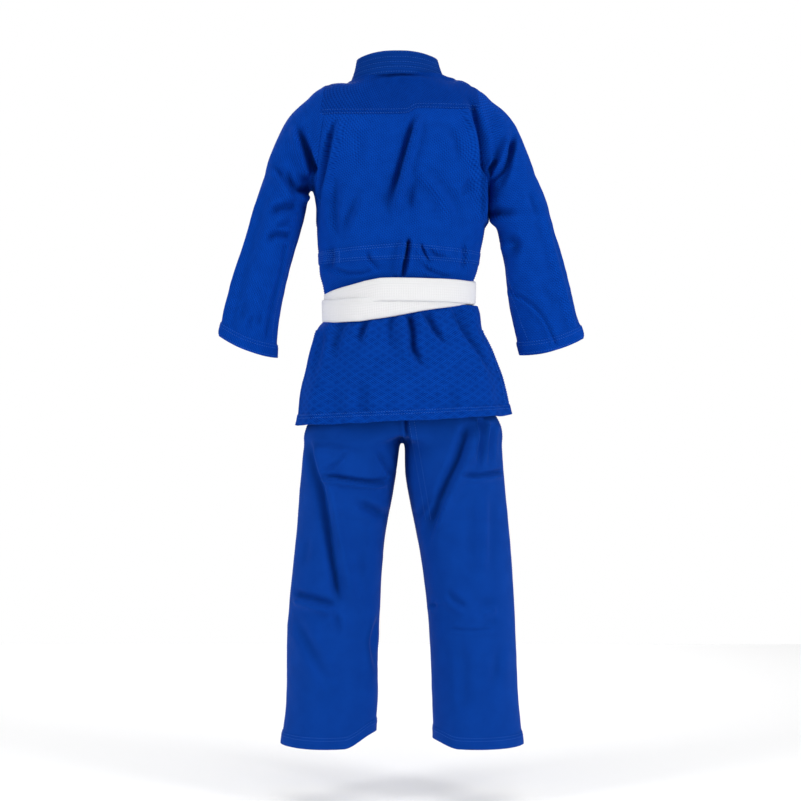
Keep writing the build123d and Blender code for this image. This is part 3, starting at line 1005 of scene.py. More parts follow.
def close_armpit(cloth):
    """Brings the right sleeve and the side of the back together at the armpit."""
    x, y, z = cloth.points.T
    pull = smoothstep(0.128, 0.142, z) * smoothstep(0.230, 0.205, z) * np.exp(-(((x + 0.156) / 0.026) ** 2))
    cloth.points[:, 0] += (-0.1555 - x) * 0.95 * pull


def yoke_line(x, y, z):
    """Height above the yoke's lower edge."""
    return z - 0.3160 - 0.0095 * smoothstep(-0.008, -0.030, x)


# folds of the back: path of (x, z) in mm, depth, width, lean, and how they fade at each end
BACK_FOLDS = [
    ([(-29, 322), (-14, 268), (-2, 226), (8, 186), (25, 116)], 6.5, 5.5, -0.8, (0.15, 0.35)),
    ([(19, 130), (2, 178), (-20, 220)], -3.5, 9, 0, (0.3, 0.2)),
    ([(-20, 220), (-53, 196), (-81, 158), (-93, 100)], -3.5, 9, 0, (0.2, 0.4)),
    ([(-13, 210), (-16, 158), (-24, 112)], 2.2, 8, 0.3, (0.35, 0.35)),
    ([(-14, 104), (-10, 76), (-2, 34)], 9.0, 4.5, 0.4, (0.15, 0.05)),
    ([(-34, 96), (-38, 80), (-52, 58)], 4.0, 4, 0.3, (0.2, 0.3)),
    ([(62, 381), (32, 387), (0, 389), (-34, 387), (-66, 380)], 3.5, 4.5, 0, (0.3, 0.3)),
    ([(109, 222), (114, 136), (104, 100)], 3.5, 7, 0.3, (0.3, 0.2)),
    ([(67, 196), (84, 146), (103, 98)], 2.8, 8, -0.4, (0.35, 0.3)),
    ([(108, 318), (118, 276), (124, 240), (136, 190), (144, 150)], 6.0, 5.5, -0.5, (0.2, 0.2)),
    ([(-118, 356), (-132, 300), (-139, 270), (-142, 204), (-143, 130)], 8.0, 7, 0.3, (0.15, 0.1)),
    ([(-121, 212), (-102, 170)], 3.0, 6, 0, (0.3, 0.3)),
    ([(-30, 62), (-52, 46), (-78, 38), (-104, 42)], 4.5, 4, 0.4, (0.2, 0.3)),
    ([(-40, 90), (-62, 72), (-88, 70)], 3.0, 5, 0, (0.3, 0.3)),
    ([(118, 62), (96, 44), (64, 42), (38, 52)], 4.0, 4, 0.4, (0.3, 0.3)),
    ([(118, 96), (112, 70), (122, 44)], 4.0, 6, 0, (0.2, 0.2)),
    ([(60, 88), (52, 66), (30, 44)], 3.0, 5, 0, (0.3, 0.2)),
    ([(-108, 100), (-112, 74), (-104, 44)], 3.5, 6, 0, (0.2, 0.2)),
    ([(60, 300), (70, 262), (66, 214)], 2.0, 9, 0, (0.3, 0.3)),
    ([(-82, 300), (-98, 258), (-104, 222)], 2.4, 9, 0, (0.3, 0.3)),
]
LEFT_SLEEVE_FOLDS = [
    ([(181, 310), (168, 266), (148, 216)], 9.0, 7.5, 0.6, (0.3, 0.1)),
    ([(198, 226), (192, 204), (178, 187), (152, 198)], 6.0, 7, 0.4, (0.2, 0.2)),
    ([(228, 243), (208, 214), (192, 195), (180, 164)], 5.0, 6, 0.4, (0.25, 0.2)),
    ([(229, 143), (209, 158), (180, 161)], 6.0, 8, 0.3, (0.3, 0.1)),
    ([(233, 94), (219, 112), (191, 110)], 5.0, 7, 0.3, (0.3, 0.1)),
    ([(218, 124), (206, 128), (192, 134)], 3.0, 5, 0, (0.3, 0.2)),
    ([(201, 104), (209, 48), (219, 4), (232, -70)], 2.2, 3, 0, (0.05, 0.05)),
    ([(250, -24), (262, -40), (258, -62)], 2.0, 5, 0, (0.3, 0.3)),
    ([(238, -18), (246, -46)], 2.0, 5, 0, (0.3, 0.3)),
    ([(268, 2), (280, -44)], 2.0, 7, 0, (0.3, 0.3)),
    ([(238, 206), (262, 130), (288, 30), (312, -70)], -3.5, 8, 0, (0.15, 0.1)),
]
RIGHT_SLEEVE_FOLDS = [
    ([(-202, 296), (-188, 244), (-168, 200)], 7.0, 6, 0.5, (0.2, 0.2)),
    ([(-200, 284), (-193, 236), (-178, 188)], 3.5, 5, 0, (0.2, 0.2)),
    ([(-170, 243), (-154, 227), (-158, 212)], 4.5, 5, 0, (0.2, 0.3)),
    ([(-160, 156), (-186, 148), (-211, 152)], 5.0, 9, 0.3, (0.1, 0.35)),
    ([(-184, 114), (-208, 94), (-188, 66)], 4.5, 8, 0, (0.2, 0.3)),
    ([(-188, 50), (-202, 16), (-231, -6), (-252, -36), (-271, -84)], 2.2, 3, 0.3, (0.1, 0.05)),
    ([(-244, 178), (-256, 112), (-280, 20), (-306, -70)], -3.5, 7, 0, (0.15, 0.1)),
    ([(-222, 196), (-238, 140)], 2.5, 8, 0, (0.3, 0.3)),
    ([(-240, 40), (-262, 0), (-270, -40)], 2.0, 9, 0, (0.3, 0.3)),
]
FRONT_FOLDS = [
    ([(130, 300), (112, 220), (70, 120), (20, 50)], 5.0, 9, 0.3, (0.2, 0.15)),
    ([(-130, 296), (-110, 214), (-70, 130), (-10, 60)], 5.0, 9, -0.3, (0.2, 0.15)),
    ([(138, 210), (120, 140), (84, 60)], 4.0, 8, 0, (0.2, 0.15)),
    ([(-138, 214), (-124, 140), (-100, 56)], 4.5, 8, 0, (0.2, 0.15)),
    ([(60, 130), (30, 84), (-30, 44)], 3.5, 6, 0, (0.25, 0.1)),
    ([(188, 300), (176, 240), (150, 190)], 5.0, 8, 0.3, (0.2, 0.2)),
    ([(-188, 296), (-174, 236), (-150, 192)], 5.0, 8, -0.3, (0.2, 0.2)),
    ([(186, 170), (212, 146), (236, 150)], 5.0, 8, 0, (0.1, 0.3)),
    ([(-184, 172), (-208, 144), (-232, 152)], 5.0, 8, 0, (0.1, 0.3)),
    ([(196, 110), (218, 96), (244, 104)], 4.0, 7, 0, (0.1, 0.3)),
    ([(-198, 116), (-222, 98), (-246, 108)], 4.0, 7, 0, (0.1, 0.3)),
    ([(240, 20), (256, -20), (262, -64)], 2.5, 9, 0, (0.3, 0.2)),
    ([(-232, 30), (-250, -10), (-262, -60)], 2.5, 9, 0, (0.3, 0.2)),
]
RIBS = [([(-150, 326 - 9 * i), (-186, 323 - 9 * i)], 0.7, 3.2, 0, (0.3, 0.3)) for i in range(4)]

UPPER_FOLDS = [(BACK, 1.6, *f) for f in BACK_FOLDS + LEFT_SLEEVE_FOLDS + RIGHT_SLEEVE_FOLDS + RIBS]
UPPER_FOLDS += [(FRONT, 1.2, *f) for f in FRONT_FOLDS]
# places where the cloth is pushed: (x, z), reach and shift, all in mm
TORSO_NUDGES = [
    ((134, 26), (30, 34), (18, 0)),
    ((130, 8), (30, 16), (9, 0)),
    ((-134, 22), (30, 30), (-6, 0)),
    ((-146, 84), (34, 30), (6, 0)),
    ((86, 396), (24, 22), (0, -10)),
    ((-84, 396), (22, 22), (0, -10)),
    ((-106, 388), (16, 16), (0, 4)),
]
SLEEVE_NUDGES = [
    ((-208, 0), (30, 90), (13, 0)),
    ((208, -60), (30, 60), (8, 0)),
    ((222, 262), (34, 60), (-8, -3)),
    ((-222, 262), (34, 60), (8, -3)),
]

upper = merged([torso_tube(), sleeve_tube(1), sleeve_tube(-1)], MESH_STEP, 4)
x, y, z = upper.points.T
under_arm = np.exp(-((np.abs(x) - 0.155) / 0.035) ** 2) * smoothstep(0.12, 0.17, z)
relax(upper, 40, under_arm)
slack = smoothstep(0.026, 0.060, z)
slack = np.where(np.abs(x) > 0.175, 1.0, slack)
move = swell(upper, 0.085, 0.006, 3, (1, 1, 0.7)) + crumple(upper, 0.030, 0.0012, 5)
move = folded(move, upper, UPPER_FOLDS)
for side in (1, -1):
    seam = armhole(side)(x, y, z)
    move -= 0.0010 * np.exp(-((seam / 0.003) ** 2))
move -= 0.0008 * np.exp(-((y / 0.003) ** 2)) * (np.abs(x) < 0.17) * smoothstep(0.20, 0.17, z)
upper.points += upper.normals * (move * slack)[:, None]
nudge_all(upper, TORSO_NUDGES)
close_armpit(upper)
nudge_all(upper, SLEEVE_NUDGES)
x, y, z = upper.points.T
for side in (1, -1):
    past = along_arm(side)(x, y, z)
    slant = across_arm(side)(x, y, z)
    reach = (CUFF - ELBOW).length + 0.012
    pull = cuff_shift(side, slant) * smoothstep(reach - 0.10, reach, past) * (side * x > 0.19)
    upper.points[:, 0] += side * SLEEVE_DOWN.x * pull
    upper.points[:, 2] += SLEEVE_DOWN.z * pull
upper.find_normals()
upper_tree = BVHTree.FromPolygons([Vector(p) for p in upper.points], upper.faces)

# ---------------------------------------------------------------- body of the jacket
LAPEL = np.array([(-0.230, -0.099), (0.0, -0.070), (0.191, 0.0), (0.396, 0.086)])
LAPEL_WIDTH = 0.044


def front_edge(z):
    """x of the middle of the left lapel at a height."""
    return np.interp(z, LAPEL[:, 0], LAPEL[:, 1])


def lifted_front(cloth):
    """The left front, raised where it lies over the right one."""
    x, y, z = cloth.points.T
    over = smoothstep(0.035, -0.005, x + front_edge(z))
    return cloth.raised(0.0028 * over)


trunk = upper
for side in (1, -1):
    trunk = trunk.keep(lambda x, y, z: 0.007 * smoothstep(0.125, 0.150, z) - armhole(side)(x, y, z))
trunk = trunk.keep(lambda x, y, z: NECK_Z - z).keep(lambda x, y, z: z - WAIST_Z)


def yoke_part(x, y, z):
    """Above 0 on the yoke, which reaches a little over the shoulders to the front."""
    return np.minimum(yoke_line(x, y, z), y + 0.025)


back = trunk.keep(lambda x, y, z: y).keep(lambda x, y, z: 0.008 - yoke_line(x, y, z))
fronts = trunk.keep(lambda x, y, z: np.minimum(-y, np.maximum(-yoke_line(x, y, z), -0.019 - y)))
yoke = trunk.keep(yoke_part)
yoke = yoke.raised(0.0006 + 0.0004 * smoothstep(0, 0.004, yoke_part(*yoke.points.T)))
left_front = lifted_front(fronts.keep(lambda x, y, z: x - front_edge(z) + 0.012))
right_front = fronts.keep(lambda x, y, z: -front_edge(z) + 0.012 - x)


def armhole_rows(inset):
    """Rows of stitching inside both armholes."""
    return [lambda x, y, z, s=s: armhole(s)(x, y, z) + inset for s in (1, -1)]


def side_rows(gap):
    """Rows of stitching on both sides of each side seam."""
    return [lambda x, y, z: np.where(np.abs(x) > 0.09, np.abs(y) - gap, 1.0)]


back_piece = build("back_panel_cloth", back, CLOTH, jacket_weave, "torso",
                   rows=side_rows(SEAM_GAP), folds=UPPER_FOLDS)
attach(back_piece, "jacket")
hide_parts("back_panel")
round(back.area(), 3)

yoke_piece = build("shoulder_yoke_cloth", yoke, 0.0026, shaded_yoke_weave, "torso",
                   rows=rows_in(yoke_part, 0.0020, 0.0085), folds=UPPER_FOLDS)
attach(yoke_piece, "jacket")
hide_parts("shoulder_yoke")
round(yoke.area(), 3)

for name, cloth in (("left", left_front), ("right", right_front)):
    piece = build(f"front_panel_{name}_cloth", cloth, CLOTH, jacket_weave, "torso",
                  rows=armhole_rows(SEAM_GAP) + side_rows(SEAM_GAP), folds=UPPER_FOLDS)
    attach(piece, "jacket")
    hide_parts(f"front_panel_{name}")
    round(cloth.area(), 3)


def waist_strip(cloth, name, node):
    """Stitched reinforcement round the waist, on one of the panels."""
    def low(x, y, z):
        return z - 0.0660 + 0.035 * np.abs(x)

    def high(x, y, z):
        return 0.0940 - 0.068 * np.abs(x) - z

    strip = cloth.keep(lambda x, y, z: low(x, y, z) + 0.008).keep(lambda x, y, z: high(x, y, z) + 0.008)
    strip = strip.refined().keep(low).keep(high)
    inset = np.minimum(low(*strip.points.T), high(*strip.points.T))
    strip = strip.raised(0.0004 + 0.0011 * smoothstep(0, EDGE_SLOPE, inset))
    rows = [row for gap in (0.0018, 0.0060) for row in rows_in(low, gap) + rows_in(high, gap)]
    rows += [lambda x, y, z, k=k: np.where((x > 0.104) & (y > 0.015), z - 0.0630 - 0.0035 * k, 1.0)
             for k in range(6)]
    piece = build(name, strip, 0.0014, jacket_weave, "torso", rows=rows,
                  folds=UPPER_FOLDS)
    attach(piece, "jacket")
    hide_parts(node)


waist_strip(back, "waist_band_back_cloth", "waist_band_back")
waist_strip(left_front, "waist_band_left_cloth", "waist_band_front_left")
waist_strip(right_front, "waist_band_right_cloth", "waist_band_front_right")


def gusset(side, name):
    """Diamond let into the side seam under the arm."""
    low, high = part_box(f"underarm_gusset_{name}")
    middle = (low + high) / 2
    half = (high - low) / 2

    def diamond(x, y, z):
        inside = 1 - np.abs(z - middle.z) / half.z - np.abs(y) / half.y
        return np.where(side * x > 0.10, inside * 0.025, -1.0)

    cloth = laid_strip(trunk, diamond, 0.01, 0.0003, 0.0009)
    piece = build(f"underarm_gusset_{name}_cloth", cloth, 0.0012, jacket_weave, "torso",
                  rows=rows_in(diamond, 0.0022))
    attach(piece, "jacket")
    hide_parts(f"underarm_gusset_{name}")


for side, name in ((1, "left"), (-1, "right")):
    gusset(side, name)


# ---------------------------------------------------------------- sleeves
MID_ARM = -0.037
SLEEVE_END = (CUFF - ELBOW).length + 0.012
CUFF_DEPTH = 0.024


def sleeve_pieces(side, name):
    """Upper and lower part of a sleeve, and its turned-up cuff."""
    far = along_arm(side)
    seam = armhole(side)
    sleeve = upper.keep(seam)

    def slanted(x, y, z):
        return SLEEVE_END - far(x, y, z) + cuff_shift(side, across_arm(side)(x, y, z))

    def turned_up(x, y, z):
        return CUFF_DEPTH - slanted(x, y, z)

    def under(x, y, z):
        return np.where(across_arm(side)(x, y, z) < 0.01, y - UNDERARM[side](far(x, y, z)), 1.0)

    sleeve = sleeve.keep(slanted)
    head = sleeve.keep(lambda x, y, z: MID_ARM - far(x, y, z))
    head = head.raised(0.0009 * smoothstep(0.014, 0.009, seam(*head.points.T)))
    arm = sleeve.keep(lambda x, y, z: far(x, y, z) - MID_ARM)
    piece = build(f"sleeve_head_{name}_cloth", head, CLOTH, jacket_weave, "sleeve", side,
                  folds=UPPER_FOLDS)
    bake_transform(piece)
    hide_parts(f"upper_sleeve_{name}")
    round(head.area(), 3)
    piece = build(f"sleeve_arm_{name}_cloth", arm, CLOTH, jacket_weave, "sleeve", side,
                  rows=[under], folds=UPPER_FOLDS)
    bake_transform(piece)
    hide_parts(f"lower_sleeve_{name}")
    round(arm.area(), 3)

    hem = laid_strip(arm, turned_up, 0.008, 0.0003, 0.0010)
    piece = build(f"cuff_hem_{name}_cloth", hem, 0.0040, jacket_weave, "sleeve", side,
                  rows=rows_in(slanted, 0.0215, 0.0165, 0.0030))
    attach(piece, f"forearm_{name}")
    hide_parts(f"cuff_hem_{name}")


# y of the underarm seam along each forearm: it runs inside the left one, and climbs on the right
UNDERARM = {
    1: lambda past: 0.026,
    -1: lambda past: 0.020 + 0.10 * np.clip(past, 0, 1),
}
for side, name in ((1, "left"), (-1, "right")):
    sleeve_pieces(side, name)


# ---------------------------------------------------------------- collar and lapels
def on_cloth(tree, x, z, facing):
    """Point on the cloth at (x, z), seen from the front or the back."""
    hit = tree.ray_cast(Vector((x, facing * 0.4, z)), Vector((0, -facing, 0)))[0]
    return None if hit is None else np.array(hit[:])


SAMPLES = 25
COLLAR_LEAN = 0.0045


def lapel_rails(side, tree, low, high):
    """Rails of one lapel from low to high, its sewn edge first."""
    rails = []
    for height in np.arange(low, high, 0.005):
        middle = front_edge(height)
        slope = (front_edge(height + 0.02) - front_edge(height - 0.02)) / 0.04
        turn = math.atan(slope)
        across = np.linspace(1, -1, SAMPLES) * LAPEL_WIDTH / 2
        line = []
        for a in across:
            spot = on_cloth(tree, side * (middle + a * math.cos(turn)), height - a * math.sin(turn), FRONT)
            line.append(spot)
        known = [i for i, p in enumerate(line) if p is not None]
        if len(known) < 3:
            continue
        line = [line[min(known, key=lambda k: abs(k - i))] if p is None else p for i, p in enumerate(line)]
        rails.append(line)
    rails = np.array(rails)
    for _ in range(3):
        rails[1:-1] = (rails[:-2] + 2 * rails[1:-1] + rails[2:]) / 4
    return rails


def collar_rails():
    """Rails round the neck from the wearer's left to right, the sewn edge first."""
    rails = []
    for degrees in np.arange(96, -97, -4.0):
        angle = math.radians(degrees)
        rim = 0.4310 - 0.0060 * smoothstep(10, 80, abs(degrees))
        base = NECK_Z - 0.003 - 0.010 * math.sin(angle) ** 2
        line = []
        for v in np.linspace(0, 1, SAMPLES):
            z = base + (rim - base) * v
            half_width = 0.0805 - 0.0150 * v - 0.0020 * math.sin(math.pi * v)
            half_depth = 0.0550 - 0.0080 * v
            shift = COLLAR_LEAN * (0.8 + 0.5 * v)
            line.append((shift + half_width * math.sin(angle), half_depth * math.cos(angle), z))
        rails.append(line)
    return np.array(rails)


def bridge(first, last, count):
    """Stations between two sets of rails, following the way each of them was going."""
    start, end = first[-1], last[0]
    leave = (first[-1] - first[-3]) * 1.6
    arrive = (last[2] - last[0]) * 1.6
    rails = []
    for i in range(1, count):
        t = i / count
        h1 = 2 * t**3 - 3 * t**2 + 1
        h2 = t**3 - 2 * t**2 + t
        h3 = -2 * t**3 + 3 * t**2
        h4 = t**3 - t**2
        rails.append(start * h1 + leave * 2 * h2 + end * h3 + arrive * 2 * h4)
    return np.array(rails)


left_top = lapel_rails(1, upper_tree, WAIST_Z - 0.004, 0.362)
right_top = lapel_rails(-1, upper_tree, 0.150, 0.362)
around_neck = collar_rails()
left_bridge = bridge(left_top, around_neck, 10)
right_bridge = bridge(around_neck, right_top[::-1], 10)
neck_run = np.concatenate([left_top, left_bridge, around_neck, right_bridge, right_top[::-1]])
inside_neck = np.zeros_like(neck_run)
inside_neck[..., 2] = neck_run[..., 2] - 0.02
outward = face_normals(neck_run, inside_neck)
rise = np.full(len(neck_run), 0.0006)
heights = neck_run[:, SAMPLES // 2, 2]
on_left = np.arange(len(neck_run)) < len(left_top)
rise[on_left] += 0.0034 * smoothstep(0.215, 0.165, heights[on_left])
on_right = np.arange(len(neck_run)) >= len(neck_run) - len(right_top)
rise[on_right] -= 0.0042 * smoothstep(0.200, 0.170, heights[on_right])
neck_run = neck_run + outward * rise[:, None, None]
first_end = len(left_top)
last_start = len(neck_run) - len(right_top)
ROWS = [0.10, 0.30, 0.50, 0.70, 0.90]
parts = (("lapel_left_cloth", slice(0, first_end + 1), "lapel_left"),
         ("collar_band_cloth", slice(first_end, last_start + 1), "collar_band"),
         ("lapel_right_cloth", slice(last_start, None), "lapel_right"))
for name, span, node in parts:
    piece = band(name, neck_run[span], outward[span], 0.0052, collar_drill,
                 grooves=ROWS, sewn=ROWS)
    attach(piece, "jacket")
    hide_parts(node)

# ---------------------------------------------------------------- skirt of the jacket
BACK_SKIRT_FOLDS = [
    ([(56, -30), (62, -50), (73, -84)], 6.0, 7, -0.3, (0.05, 0.4)),
    ([(-12, -26), (-19, -58), (-18, -84), (-32, -110), (-54, -122)], 7.0, 8, 0.5, (0.05, 0.35)),
    ([(-38, -24), (-54, -50), (-82, -84)], 6.0, 7, 0.3, (0.05, 0.35)),
    ([(-86, -22), (-110, -58), (-137, -93), (-168, -142)], 6.0, 8, 0.4, (0.05, 0.35)),
    ([(14, -30), (18, -60), (12, -100)], 3.0, 8, 0, (0.05, 0.4)),
    ([(96, -34), (110, -70), (118, -120)], 4.0, 9, 0, (0.05, 0.4)),
    ([(128, -50), (146, -100), (150, -150)], 3.0, 9, 0, (0.1, 0.4)),
    ([(60, -130), (66, -205)], 3.0, 14, 0, (0.4, 0.0)),
    ([(-90, -140), (-100, -205)], 3.0, 14, 0, (0.4, 0.0)),
]
FRONT_SKIRT_FOLDS = [
    ([(70, -30), (84, -70), (92, -130)], 5.0, 8, 0, (0.05, 0.4)),
    ([(-40, -30), (-52, -80), (-50, -130)], 4.0, 8, 0, (0.05, 0.4)),
    ([(24, -30), (36, -90)], 5.0, 8, 0, (0.05, 0.4)),
    ([(120, -50), (142, -110)], 3.0, 9, 0, (0.1, 0.4)),
    ([(-118, -50), (-142, -120)], 4.0, 9, 0, (0.1, 0.4)),
]
# heights of the middle of each belt turn across the back, at places from right to left
FIRST_HEIGHTS = ([-0.137, -0.121, -0.070, -0.035, 0.035, 0.062, 0.098, 0.137],
                 [0.0110, 0.0128, 0.0146, 0.0150, 0.0136, 0.0096, 0.0012, -0.0080])
SECOND_HEIGHTS = ([-0.137, -0.130, -0.070, 0.0, 0.070, 0.137],
                  [0.0150, 0.0146, 0.0034, -0.0096, -0.0196, -0.0190])
BELT_SHIFT = 0.002


def below_belt(x, z):
    """0 behind the belt, 1 from just under it."""
    edge = np.interp(x, *SECOND_HEIGHTS) - 0.020
    return smoothstep(edge + 0.002, edge - 0.009, z)


SKIRT_FOLDS = [(BACK, 1.5, *f) for f in BACK_SKIRT_FOLDS] + [(FRONT, 1.2, *f) for f in FRONT_SKIRT_FOLDS]
SKIRT_NUDGES = [
    ((132, -44), (26, 22), (9, 0)),
    ((-124, -14), (26, 34), (-13, 0)),
    ((178, -120), (30, 40), (-4, 0)),
    ((190, -210), (40, 40), (-6, 0)),
]
skirt = skirt_sheet()
x, y, z = skirt.points.T
angle = np.arctan2(x / 0.19, y / 0.126)
hang = smoothstep(-0.045, -0.20, z)
move = hang * (0.0030 * np.sin(7 * angle + 0.6) + 0.0018 * np.sin(13 * angle + 2.0))
move += crumple(skirt, 0.032, 0.0010, 9) * smoothstep(-0.03, -0.05, z)
move = folded(move, skirt, SKIRT_FOLDS)
top_lift = 0.018 * smoothstep(0.04, -0.10, x) * smoothstep(-0.06, SKIRT_TOP_Z, z)
skirt.points += skirt.normals * (move * below_belt(x, z + top_lift))[:, None]
skirt.points[:, 2] += top_lift - HEM_TILT * skirt.points[:, 0] * smoothstep(-0.05, -0.20, z)
nudge_all(skirt, SKIRT_NUDGES)
skirt.find_normals()
SKIRT_HEM = 0.020


def above_hem(x, y, z):
    """Height above the skirt's slanting lower edge."""
    return z + HEM_TILT * x * smoothstep(-0.05, -0.20, z) - HEM_Z


def skirt_piece(node, cloth):
    """One panel of the skirt, whose folds start below the belt."""
    piece = build(f"{node}_cloth", cloth, CLOTH, skirt_weave, "torso", folds=SKIRT_FOLDS)
    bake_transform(piece)
    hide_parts(node)
    return piece


def hem_and_facings(cloth, part, body, sides):
    """The turned-up hem and the facings beside the vents, laid on the skirt."""
    hem = laid_strip(cloth, lambda x, y, z: SKIRT_HEM - above_hem(x, y, z), 0.006, 0.0003, 0.0010)
    piece = build(f"{part}_hem_cloth", hem, 0.0040, skirt_weave, "torso",
                  rows=rows_in(above_hem, 0.0175, 0.0125))
    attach(piece, body)
    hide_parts(HEM_NODES[part])
    for side, name in sides:
        def beside_vent(x, y, z, side=side):
            return np.where(side * x > 0.03, 0.025 - np.abs(y), -1.0)
        facing = cloth.keep(lambda x, y, z: beside_vent(x, y, z) + 0.006)
        facing = facing.keep(lambda x, y, z: above_hem(x, y, z) - SKIRT_HEM + 0.002)
        facing = facing.keep(lambda x, y, z: -0.052 - z).refined().keep(beside_vent)
        inset = beside_vent(*facing.points.T)
        facing = facing.raised(0.0002 + 0.0008 * smoothstep(0, EDGE_SLOPE, inset))
        piece = build(f"{part}_facing_{name}_cloth", facing, 0.0030, skirt_weave, "torso",
                      rows=rows_in(beside_vent, 0.0022, 0.0210))
        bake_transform(piece)
        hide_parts(f"vent_facing_{'back' if 'back' in part else 'front'}_{name}")


HEM_NODES = {
    "back_skirt": "back_skirt_hem",
    "front_skirt_left": "front_hem_left",
    "front_skirt_right": "front_hem_right",
}
back_skirt = skirt.keep(lambda x, y, z: y - 0.0015)
front_skirt = skirt.keep(lambda x, y, z: -0.0015 - y)
left_skirt = lifted_front(front_skirt.keep(lambda x, y, z: x - front_edge(z) + 0.006))
right_skirt = front_skirt.keep(lambda x, y, z: -front_edge(z) + 0.006 - x)
piece = skirt_piece("back_skirt", back_skirt)
round(back_skirt.area(), 3)
piece = skirt_piece("front_skirt_left", left_skirt)
round(left_skirt.area(), 3)
piece = skirt_piece("front_skirt_right", right_skirt)
round(right_skirt.area(), 3)
hem_and_facings(back_skirt, "back_skirt", "back_skirt", ((1, "left"), (-1, "right")))
hem_and_facings(left_skirt, "front_skirt_left", "front_skirt", ((1, "left"),))
hem_and_facings(right_skirt, "front_skirt_right", "front_skirt", ((-1, "right"),))

skirt_tree = BVHTree.FromPolygons([Vector(p) for p in skirt.points], skirt.faces)
for side, name, lift in ((1, "left", 0.0032), (-1, "right", -0.0066)):
    rails = lapel_rails(side, skirt_tree, HEM_Z + 0.004, SKIRT_TOP_Z - 0.002)
    away = face_normals(rails, np.array([0.0, 0.0, -0.1]))
    piece = band(f"lapel_tail_{name}_cloth", rails, away, 0.0048, collar_drill,
                 offset=lift, grooves=ROWS, sewn=ROWS)
    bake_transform(piece)
    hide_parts(f"lapel_tail_{name}")

# ---------------------------------------------------------------- belt
BELT_WIDTH = 0.040
BELT_CLOTH = 0.0034
BELT_ROWS = [0.06, 0.17, 0.28, 0.39, 0.50, 0.61, 0.72, 0.83, 0.94]
first_low, first_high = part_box("belt_first_turn")
BELT_Y = (first_low.y + first_high.y) / 2
BELT_HALF_WIDTH = first_high.x
BELT_HALF_DEPTH = (first_high.y - first_low.y) / 2


def belt_turn(name, node, heights, front_height, lift, turns):
    """One turn of the belt. heights are those of its middle across the back, and front_height its
    height and slope across the front. lift(x, behind) is how far out it lies, and turns sets
    where its edges waver."""
    rails = []
    count = 150
    for i in range(count):
        angle = math.pi + 2 * math.pi * i / count
        outwards = np.array([math.sin(angle) / BELT_HALF_WIDTH, math.cos(angle) / BELT_HALF_DEPTH, 0])
        outwards /= np.linalg.norm(outwards)
        x = BELT_SHIFT + (BELT_HALF_WIDTH - 0.0015) * math.sin(angle)
        y = BELT_Y + BELT_HALF_DEPTH * math.cos(angle)
        behind = smoothstep(-0.35, 0.35, math.cos(angle))
        middle = np.interp(x, *heights) * behind + (front_height[0] + front_height[1] * x) * (1 - behind)
        out = lift(x, behind)
        waver = 0.0006 * math.sin(3 * angle + turns) + 0.0004 * math.sin(7 * angle + 2 * turns)
        line = []
        for v in np.linspace(0, 1, 37):
            lean = 0.0010 * (v - 0.5)
            line.append(np.array([x, y, 0]) + outwards * (out + lean) +
                        np.array([0, 0, middle + waver + BELT_WIDTH * (v - 0.5)]))
        rails.append(line)
    rails = np.array(rails)
    away = np.zeros_like(rails)
    away[..., 0] = rails[..., 0] / BELT_HALF_WIDTH**2
    away[..., 1] = (rails[..., 1] - BELT_Y) / BELT_HALF_DEPTH**2
    away /= np.linalg.norm(away, axis=2, keepdims=True)
    piece = band(name, rails, away, BELT_CLOTH, belt_cotton, closed=True,
                 grooves=BELT_ROWS, groove_depth=0.00035)
    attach(piece, "jacket")
    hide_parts(node)


def first_lift(x, behind):
    """The first turn lies under the second at the wearer's left, and over it at the right."""
    return -BELT_CLOTH - 0.0003 + 0.0040 * behind * smoothstep(0.085, 0.020, x)


def second_lift(x, behind):
    """The other way round from the first turn."""
    return 0.0003 - 0.0040 * behind * smoothstep(0.085, 0.020, x)


belt_turn("belt_first_turn_cloth", "belt_first_turn", FIRST_HEIGHTS, (0.0055, -0.085), first_lift, 0.4)
belt_turn("belt_second_turn_cloth", "belt_second_turn", SECOND_HEIGHTS, (-0.0018, -0.124), second_lift, 1.9)


def belt_knot():
    """Flat square knot: one end wraps over the belt, the other crosses it."""
    low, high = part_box("belt_knot")
    middle = (low + high) / 2
    half_height = (high.z - low.z) / 2
    half_depth = (high.y - low.y) / 2
    wraps = ((24, 0.034, 0.86, 0.010), (-24, 0.036, 1.0, -0.009))
    for number, (tilt, width, shrink, shift) in enumerate(wraps):
        rails = []
        turn = math.radians(tilt)
        count = 72
        for i in range(count):
            angle = 2 * math.pi * i / count
            y = half_depth * shrink * 0.90 * math.copysign(abs(math.cos(angle)) ** 0.75, -math.cos(angle))
            up = half_height * shrink * 0.92 * math.copysign(abs(math.sin(angle)) ** 0.75, math.sin(angle))
            line = []
            for v in np.linspace(-0.5, 0.5, 31):
                bulge = math.sqrt(1 - (0.98 * abs(2 * v)) ** 3)
                side_place = shift + v * width
                line.append((middle.x + side_place * math.cos(turn) - up * bulge * math.sin(turn),
                             middle.y + y * bulge,
                             middle.z + up * bulge * math.cos(turn) + side_place * math.sin(turn)))
            rails.append(line)
        rails = np.array(rails)
        away = face_normals(rails, np.array(middle[:]))
        piece = band(f"belt_knot_wrap_{number + 1}", rails, away, BELT_CLOTH * 0.6, belt_cotton,
                     offset=-BELT_CLOTH * 0.6, closed=True, grooves=BELT_ROWS,
                     groove_depth=0.0003)
        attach(piece, "jacket")
        if number:
            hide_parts("belt_knot")


